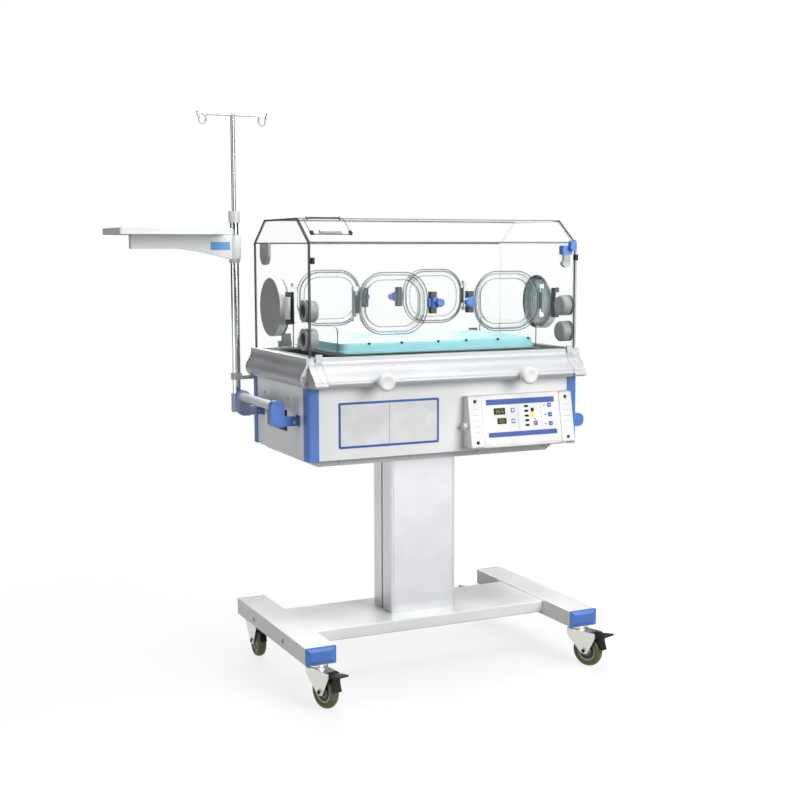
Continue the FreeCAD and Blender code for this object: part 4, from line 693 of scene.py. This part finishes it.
size = pad_high - pad_low
piping = oval_cord(size.x + 0.0045, size.y + 0.0045, 0.022, 0.0014)
piping.location = (0, 0, pad_low.z + 0.008)
keep(piping, "mattress_piping", aqua, "tray")


def dome(radius, height, segments=20):
    """A low round button standing on z = 0."""
    bpy.ops.mesh.primitive_cylinder_add(vertices=segments, radius=radius, depth=height,
                                        location=(0, 0, height / 2))
    piece = bpy.context.object
    pick(piece, lambda middle, normal: normal.z > 0.9)
    bpy.ops.mesh.bevel(offset=height * 0.6, segments=3, affect="EDGES")
    done()
    return piece


stud = dome(0.0042, 0.0028)
pick(stud, lambda middle, normal: normal.z > 0.99)
bpy.ops.mesh.inset(thickness=0.0008, depth=-0.0006)
done()
STUDS_X = (-0.231, -0.128, -0.010, 0.083, 0.190, 0.295)
studs = spread(stud, [((x, -0.1832, 1.0055), (0, -0.72, 0.7)) for x in STUDS_X])
keep(studs, "mattress_studs", black_plastic, "tray")

# %% [markdown]
# ## Screws
# Cross-head screws hold the cabinet, the rail's end plates and the pan together. A pan head is turned
# with a domed top and the cross is punched into it, so the head here is a bevelled cylinder with two
# bars cut out of it.

# %% Cross-head screws
def cut(piece, tool):
    apply(piece, "BOOLEAN", operation="DIFFERENCE", object=tool, solver="EXACT")
    bpy.data.objects.remove(tool)


def screw(radius, height):
    head = dome(radius, height, 24)
    for turn in (0, math.pi / 2):
        bar = tile(radius * 1.3, radius * 0.32, height, radius * 0.08, 1)
        bar.location, bar.rotation_euler = (0, 0, height * 0.45), (0, 0, turn)
        cut(head, bar)
    return head


spots = mirrored([((-CABINET_SIDE, 0.128, 0.845), LEFT), ((-CABINET_SIDE, -0.072, 0.847), LEFT)])
spots += [((x, -0.205, 0.6765), FRONT) for x in (-0.338, -0.113, 0.110, 0.336)]
spots += [((x, CABINET_FACE, z), REAR) for z in (0.86, 0.71) for x in (-0.3, 0, 0.3)]
keep(spread(screw(0.0048, 0.0024), spots), "cabinet_screws", steel, "base")
spots = mirrored([((-0.479, 0.141, 0.144), LEFT), ((-0.479, -0.116, 0.146), LEFT)])
keep(spread(screw(0.0085, 0.003), spots), "foot_bolts", steel, "base")
RAIL_SCREWS = ((-0.4396, 0.941), (-0.4537, 0.9213), (-0.4435, 0.9033))
spots = mirrored([((x, -PANEL_FACE, z), FRONT) for x, z in RAIL_SCREWS])
keep(spread(screw(0.0042, 0.0022), spots), "rail_screws", steel, "base")

# %% [markdown]
# The control unit leans back. Its pieces are placed by millimetres along its sloped face, so a plug,
# a key or a display is measured on the face as it would be on the real one. Black plugs close the
# screw wells of its end covers.

# %% Black plugs in the control unit's covers, and a black dot of painted shade for the hole beside it
SLOPE = math.atan2(0.028, 0.151)
OUT = Vector((0, -math.cos(SLOPE), math.sin(SLOPE)))
DOWN = Vector((0, -math.sin(SLOPE), -math.cos(SLOPE)))


def on_face(x, along, out):
    """A point of the sloped face: millimetres along X, down it from its top edge, and out of it."""
    return Vector((x / 1000, -0.2545, 0.846)) + DOWN * (along / 1000) + OUT * (out / 1000)


plug = dome(0.0052, 0.003, 24)
pick(plug, lambda middle, normal: normal.z > 0.99)
bpy.ops.mesh.inset(thickness=0.0012, depth=-0.001)
done()
plugs = spread(plug, [(on_face(x, along, -5.5), OUT) for x in (71.5, 380.5) for along in (16, 137)])
keep(plugs, "cover_plugs", black_plastic, "base")
# The small hole beside the control unit is drawn as a low black dome: its black is painted shade, standing in
# for the dark inside of the hole.
hole_shade_dot = spread(dome(0.0022, 0.0008), [((0.034, -CABINET_FACE, 0.752), FRONT)])
keep(hole_shade_dot, "cable_hole_plug", black_plastic, "base")

# %% [markdown]
# ## The front of the control unit
# The fascia is a printed membrane: blue bands, dark windows for the lamps and displays, and keys that
# are domes under the film. Each printed field is a tile a few tenths of a millimetre thick. The
# displays show plain numbers made of seven bars each, like real segment displays.

# %% Printed fields, keys, windows
def print_finish(name, colour, roughness=0.3, **constants):
    return moulded(name, colour, roughness, 0.00001, Specular_IOR_Level=0.2, **constants)


print_blue = print_finish("print_blue", (0.06, 0.125, 0.46), 0.45)
print_white = print_finish("print_white", (0.88, 0.89, 0.90))
print_line = print_finish("print_line", (0.42, 0.43, 0.55))
window_black = print_finish("window_black", (0.004, 0.005, 0.005), 0.4)
lamp_yellow = print_finish("lamp_yellow", (0.62, 0.52, 0.03), Emission_Color=(0.9, 0.75, 0.05, 1),
                           Emission_Strength=0.35)
digit_green = print_finish("digit_green", (0.30, 0.37, 0.03), Emission_Color=(0.62, 0.82, 0.06, 1),
                           Emission_Strength=0.45)
fields = {}


def field(finish, x, along, width, height, corner=0.5, lift=0.0, thick=0.35):
    piece = tile(width / 1000, height / 1000, thick / 1000, corner / 1000, 3)
    piece.location = on_face(x, along, lift - 0.78)
    piece.rotation_euler = (math.pi / 2 - SLOPE, 0, 0)
    fields.setdefault(finish, []).append(piece)


field(print_blue, 224.4, 20.9, 233, 16.2, 1.5)
field(print_blue, 226.2, 117.2, 234, 14.3, 1.5)
field(window_black, 150.9, 48.6, 38.2, 19.6, 1.2, thick=0.6)
field(window_black, 156.9, 77.4, 30.7, 17.2, 1.2, thick=0.6)
for x in (213.9, 292.7):
    field(print_line, x, 68.3, 0.8, 68.6, 0.1)
for along in (37.7, 51.6, 66.0, 79.8, 93.9):
    field(window_black, 242.6, along, 13.3, 6.5, 0.6, thick=0.6)
    field(print_line, 230.5, along, 5.0, 1.2, 0.2)
field(window_black, 263.0, 48.9, 10, 11.2, 0.6, thick=0.6)
field(lamp_yellow, 263.0, 61.9, 10, 14.6, 0.6, thick=0.6)
for x, along in ((270.4, 77.3), (304.6, 38.6), (307.3, 65.6), (305.9, 93.1)):
    field(window_black, x, along, 4.4, 4.4, 2.0, thick=0.5)
for x, along in ((195.1, 47), (195.1, 79)):
    field(print_blue, x, along, 13, 13, 2.2, lift=1.0)
    field(print_white, x, along, 7.5, 7.5, 1.2, lift=1.3)
for x, along in ((271.1, 89), (322.1, 38), (322.6, 66), (323.2, 93)):
    field(print_blue, x, along, 13, 13, 2.2, lift=1.0)
    field(print_white, x, along, 5.5, 1.3, 0.3, lift=1.3)
    field(print_white, x, along, 1.3, 5.5, 0.3, lift=1.3)

# %% [markdown]
# A segment display draws every figure with seven bars. One table gives the place of each bar, and one
# says which bars stay dark for a figure, so any number can be shown.

# %% Plain numbers on the displays
BARS = {"top": (0, 1), "middle": (0, 0), "bottom": (0, -1), "upper_left": (-1, 0.5),
        "upper_right": (1, 0.5), "lower_left": (-1, -0.5), "lower_right": (1, -0.5)}
UNLIT = {"3": ("upper_left", "lower_left"), "5": ("upper_right", "lower_left"), "6": ("upper_right",),
         "0": ("middle",)}
PITCH, HALF_WIDTH, HALF_HEIGHT, BAR_LONG, BAR_THIN = 0.95, 0.24, 0.44, 0.36, 0.085


def digits(text, x, along, height):
    long, thin = height * BAR_LONG, height * BAR_THIN
    for place, digit in enumerate(text):
        middle = x + (place - (len(text) - 1) / 2) * height * PITCH
        for name, (across, up) in BARS.items():
            if name not in UNLIT[digit]:
                wide, tall = (thin, long) if across else (long, thin)
                field(digit_green, middle + across * height * HALF_WIDTH, along - up * height * HALF_HEIGHT,
                      wide, tall, 0.15, lift=0.6, thick=0.2)


digits("365", 150.9, 48.6, 10.5)
digits("60", 156.9, 77.4, 10.0)
for finish, tiles in fields.items():
    alone(*tiles)
    bpy.ops.object.join()
    keep(bpy.context.object, "fascia_" + finish.name, finish, "base")

# %% [markdown]
# ## Placard and shelf label
# The blue-framed placard on the cabinet and the sky-blue label on the shelf's arm are thin printed
# sheets. The placard is three tiles on each other: a frame, a field and a dividing line.

# %% Placard and label
def plate_at(name, size, thick, corner, place, finish, body):
    piece = tile(*size, thick, corner)
    round_edges(piece, thick * 0.3, 1)
    piece.location, piece.rotation_euler = place, (math.pi / 2, 0, 0)
    keep(piece, name, finish, body)


placard_blue = print_finish("placard_blue", (0.07, 0.14, 0.50), 0.35)
sky_blue = print_finish("sky_blue", (0.16, 0.42, 0.80), 0.35)
placard = Vector((-0.189, -CABINET_FACE, 0.7795))
plate_at("placard_frame", (0.316, 0.131), 0.0010, 0.005, placard, placard_blue, "base")
plate_at("placard_field", (0.303, 0.118), 0.0013, 0.003, placard, print_white, "base")
plate_at("placard_line", (0.0016, 0.117), 0.0016, 0.0002, placard - Vector((0.001, 0, 0)), print_line, "base")
plate_at("shelf_label", (0.061, 0.024), 0.0006, 0.0015, (-0.5445, 0.205, 1.283), sky_blue, "shelf")

# %% [markdown]
# ## Gaskets of the hand ports
# Each oval door closes on a soft gasket, and its own rim and the port's bore show as darker lines
# through the acrylic. An oval cord is a rounded rectangle turned into a curve with a round section.

# %% Gaskets and rims
gasket_grey = acrylic("gasket", clear=0.42, grazed=0.75, tint=(0.36, 0.47, 0.47))
rim_grey = moulded("rim_grey", (0.10, 0.115, 0.12), 0.3)
PORT_X, PORT_Z = 0.183, 1.121


def port_cord(grow, radius):
    return oval_cord(0.188 + 2 * grow, 0.150 + 2 * grow, 0.061 + grow, radius, 14)


PORT_WALLS = (("front", "access_panel", -0.2449, -0.2395), ("rear", "hood", 0.2374, 0.232))
for wall, body, line_y, seat_y in PORT_WALLS:
    for side, word in ((-1, "left"), (1, "right")):
        for label, grow, radius, y, finish, rider, slot in (
                ("rim", 0.0118, 0.0014, line_y, rim_grey, f"{wall}_{word}_door", "grey_plastic"),
                ("gasket", 0.0050, 0.0026, seat_y, gasket_grey, body, "grey_rubber"),
                ("bore", -0.0094, 0.0010, seat_y, rim_grey, body, "grey_plastic")):
            ring = port_cord(grow, radius)
            ring.location, ring.rotation_euler = (side * PORT_X, y, PORT_Z), (math.pi / 2, 0, 0)
            keep(ring, f"{wall}_{word}_{label}", finish, rider)

# %% [markdown]
# A ribbed strip of dark plastic covers the hinge of each hand port. The strip is a tile, one rib is
# copied seven times, and all are joined. It is thin enough to turn with the door past the mount.

# %% Hinge covers of the ports, with ribs
dark_grey = moulded("dark_grey_plastic", (0.05, 0.053, 0.055), 0.45)


def hinge_cover():
    body = tile(0.009, 0.050, 0.0026, 0.0022)
    ribs = []
    for step in range(7):
        rib = tile(0.0078, 0.0026, 0.0012, 0.0008, 2)
        rib.location = (0, (step - 3) * 0.0062, 0.0025)
        ribs.append(rib)
    alone(*ribs, body)
    bpy.ops.object.join()
    bpy.ops.object.transform_apply(location=True)
    round_edges(bpy.context.object, 0.0004, 1)
    return bpy.context.object


for wall, y, turn in (("front", -0.2484, math.pi / 2), ("rear", 0.2409, -math.pi / 2)):
    for side, word in ((-1, "left"), (1, "right")):
        cover = hinge_cover()
        cover.location, cover.rotation_euler = (side * 0.2968, y, PORT_Z), (turn, 0, 0)
        keep(cover, f"{wall}_{word}_hinge_cover", dark_grey, f"{wall}_{word}_door")

# %% [markdown]
# ## Small fittings
# Small things make the big pieces look finished. A black clip with a raised pad sits at each vertical
# edge of the front panel, where it steadies the panel against the hood.

# %% Panel clips
def clip():
    piece = tile(0.012, 0.018, 0.008, 0.002)
    pick(piece, lambda middle, normal: normal.z > 0.9)
    bpy.ops.mesh.inset(thickness=0.002, depth=0)
    bpy.ops.mesh.extrude_region_move(TRANSFORM_OT_translate={"value": (0, 0, 0.003)})
    done()
    round_edges(piece, 0.0008)
    return piece


clips = spread(clip(), [((-0.4255, -PANEL_FACE, 1.241), FRONT), ((0.4255, -PANEL_FACE, 1.247), FRONT)])
keep(clips, "panel_clips", black_plastic, "access_panel")

# %% [markdown]
# The hatch in the hood's front slope has a white grip with a teal strip under it, and a black clip at
# each lower corner. They are placed down the slope from its top edge, as the control unit's keys are
# on its face, so the slope's own direction is worked out first.

# %% Grip and clips of the hatch, on the front slope of the hood
FALL = Vector((0, TOP_FRONT + HOOD_Y, HOOD_TOP - SHOULDER)).normalized() * -1
LIFT = Vector((0, FALL.z, -FALL.y))


def on_slope(x, along, out):
    """A point on the front slope: millimetres along X, down it from the top edge, and out of it."""
    return Vector((x / 1000, TOP_FRONT, HOOD_TOP)) + FALL * (along / 1000) + LIFT * (out / 1000)


def slope_tile(name, x, along, out, size, corner, finish):
    piece = tile(*(value / 1000 for value in size), corner / 1000)
    round_edges(piece, 0.0005)
    piece.location = on_slope(x, along, out)
    piece.rotation_euler = (math.atan2(-LIFT.y, LIFT.z), 0, 0)
    return keep(piece, name, finish, "hatch")


teal = moulded("teal_strip", (0.12, 0.42, 0.43), 0.3)
LID_FACE, GRIP_X = 3.6, -354.5
slope_tile("hatch_grip_cap", GRIP_X, 73, LID_FACE, (66.4, 11.4, 9.0), 2.5, white_plastic)
slope_tile("hatch_grip_strip", GRIP_X, 73, LID_FACE, (67.6, 12.4, 1.4), 2.5, teal)
for x, word in ((-410.5, "left"), (-294.5, "right")):
    slope_tile("hatch_clip_" + word, x, 76, LID_FACE, (9.8, 12.8, 4.2), 1.5, black_plastic)

# %% [markdown]
# Hexagon heads hold the handles' hinge pins and the wheels' axles. A nut is a six-sided cylinder with
# a raised round end, made by an inset and an extrusion. Each caster points its own way, as in the
# photograph, so its nuts are turned with it.

# %% Bolts of the handles and nuts of the casters
def hex_nut(radius, height):
    bpy.ops.mesh.primitive_cylinder_add(vertices=6, radius=radius, depth=height, location=(0, 0, height / 2))
    piece = bpy.context.object
    pick(piece, lambda middle, normal: normal.z > 0.9)
    bpy.ops.mesh.inset(thickness=radius * 0.35, depth=0)
    bpy.ops.mesh.extrude_region_move(TRANSFORM_OT_translate={"value": (0, 0, height * 0.35)})
    done()
    round_edges(piece, height * 0.12, 2)
    return piece


bolts = spread(hex_nut(0.0062, 0.003), mirrored([((-0.4525, s * 0.148 + t * 0.0164, 0.791), (0, t, 0))
                                                 for s in (-1, 1) for t in (-1, 1)]))
keep(bolts, "handle_bolts", steel, "base")
CASTER_X, CASTER_Y, AXLE_Z, TRAIL, FORK_HALF = 0.433, 0.2675, 0.05, 0.038, 0.024
HEADINGS = {"fl": (-1, -1, -76), "fr": (1, -1, -70), "rl": (-1, 1, -93), "rr": (1, 1, 150)}
for corner, (side_x, side_y, heading) in HEADINGS.items():
    turn = math.radians(heading)
    ahead, across = Vector((math.cos(turn), math.sin(turn), 0)), Vector((-math.sin(turn), math.cos(turn), 0))
    axle = Vector((side_x * CASTER_X, side_y * CASTER_Y, AXLE_Z)) + ahead * TRAIL
    ends = [(axle + across * side * FORK_HALF, across * side) for side in (-1, 1)]
    nuts = spread(hex_nut(0.0068, 0.003), ends)
    keep(nuts, "axle_nuts_" + corner, black_plastic, "caster_" + corner)

# %% [markdown]
# Each tilt knob has a thin disc inlaid in its face, which hides the screw that holds the knob. The
# disc is a cylinder whose face is inset and pressed in a little, so that its rim catches the light.

# %% Inlaid faces of the tilt knobs
for side, word in ((-1, "left"), (1, "right")):
    bpy.ops.mesh.primitive_cylinder_add(vertices=48, radius=0.0175, depth=0.001, location=(0, 0, 0.0002))
    face = bpy.context.object
    pick(face, lambda middle, normal: normal.z > 0.9)
    bpy.ops.mesh.inset(thickness=0.0008, depth=-0.0002)
    done()
    face.location, face.rotation_euler = (side * 0.231, -0.3081, 0.904), (math.pi / 2, 0, 0)
    keep(face, word + "_knob_face", white_plastic, word + "_tilt_knob")

# %% [markdown]
# ## Floor and backdrop
# The floor is pale and turns white towards the horizon, where a white dome goes on, so the incubator
# stands in plain white as in a catalogue. Both are hidden from diffuse light, which leaves the shading
# of the object to the lamps and the sky.

# %% Floor and backdrop
def stage_finish(name, near, far):
    """White that glows by itself: the share near goes to far from half a metre to two metres out."""
    made = Finish(name, (0.9, 0.9, 0.9), 0.6)
    x, y = made.split()[:2]
    glow = made.wire.node("Emission", inputs={"Color": (1, 1, 1, 1), "Strength": 1.0})
    lit = Wire(made.tree, made.shader.outputs[0])
    share = (x * x + y * y).ramp(0.3, 4.0, near, far)
    blend = made.wire.node("MixShader", inputs={0: share, 1: lit, 2: glow})
    made.tree.links.new(blend.socket, made.tree.nodes["Material Output"].inputs["Surface"])
    return made.material


bpy.ops.mesh.primitive_plane_add(size=40, location=(0, 0, 0))
floor = bpy.context.object
floor.name = "floor"
floor.data.materials.append(stage_finish("pale_floor", 0.8, 1.0))
bpy.ops.mesh.primitive_uv_sphere_add(segments=48, ring_count=24, radius=19)
backdrop = bpy.context.object
backdrop.name = "backdrop"
backdrop.data.materials.append(stage_finish("white_backdrop", 1.0, 1.0))
backdrop.visible_glossy = backdrop.visible_transmission = backdrop.visible_shadow = False
floor.visible_diffuse = backdrop.visible_diffuse = False
print("floor and backdrop stand round", len(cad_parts), "nodes")
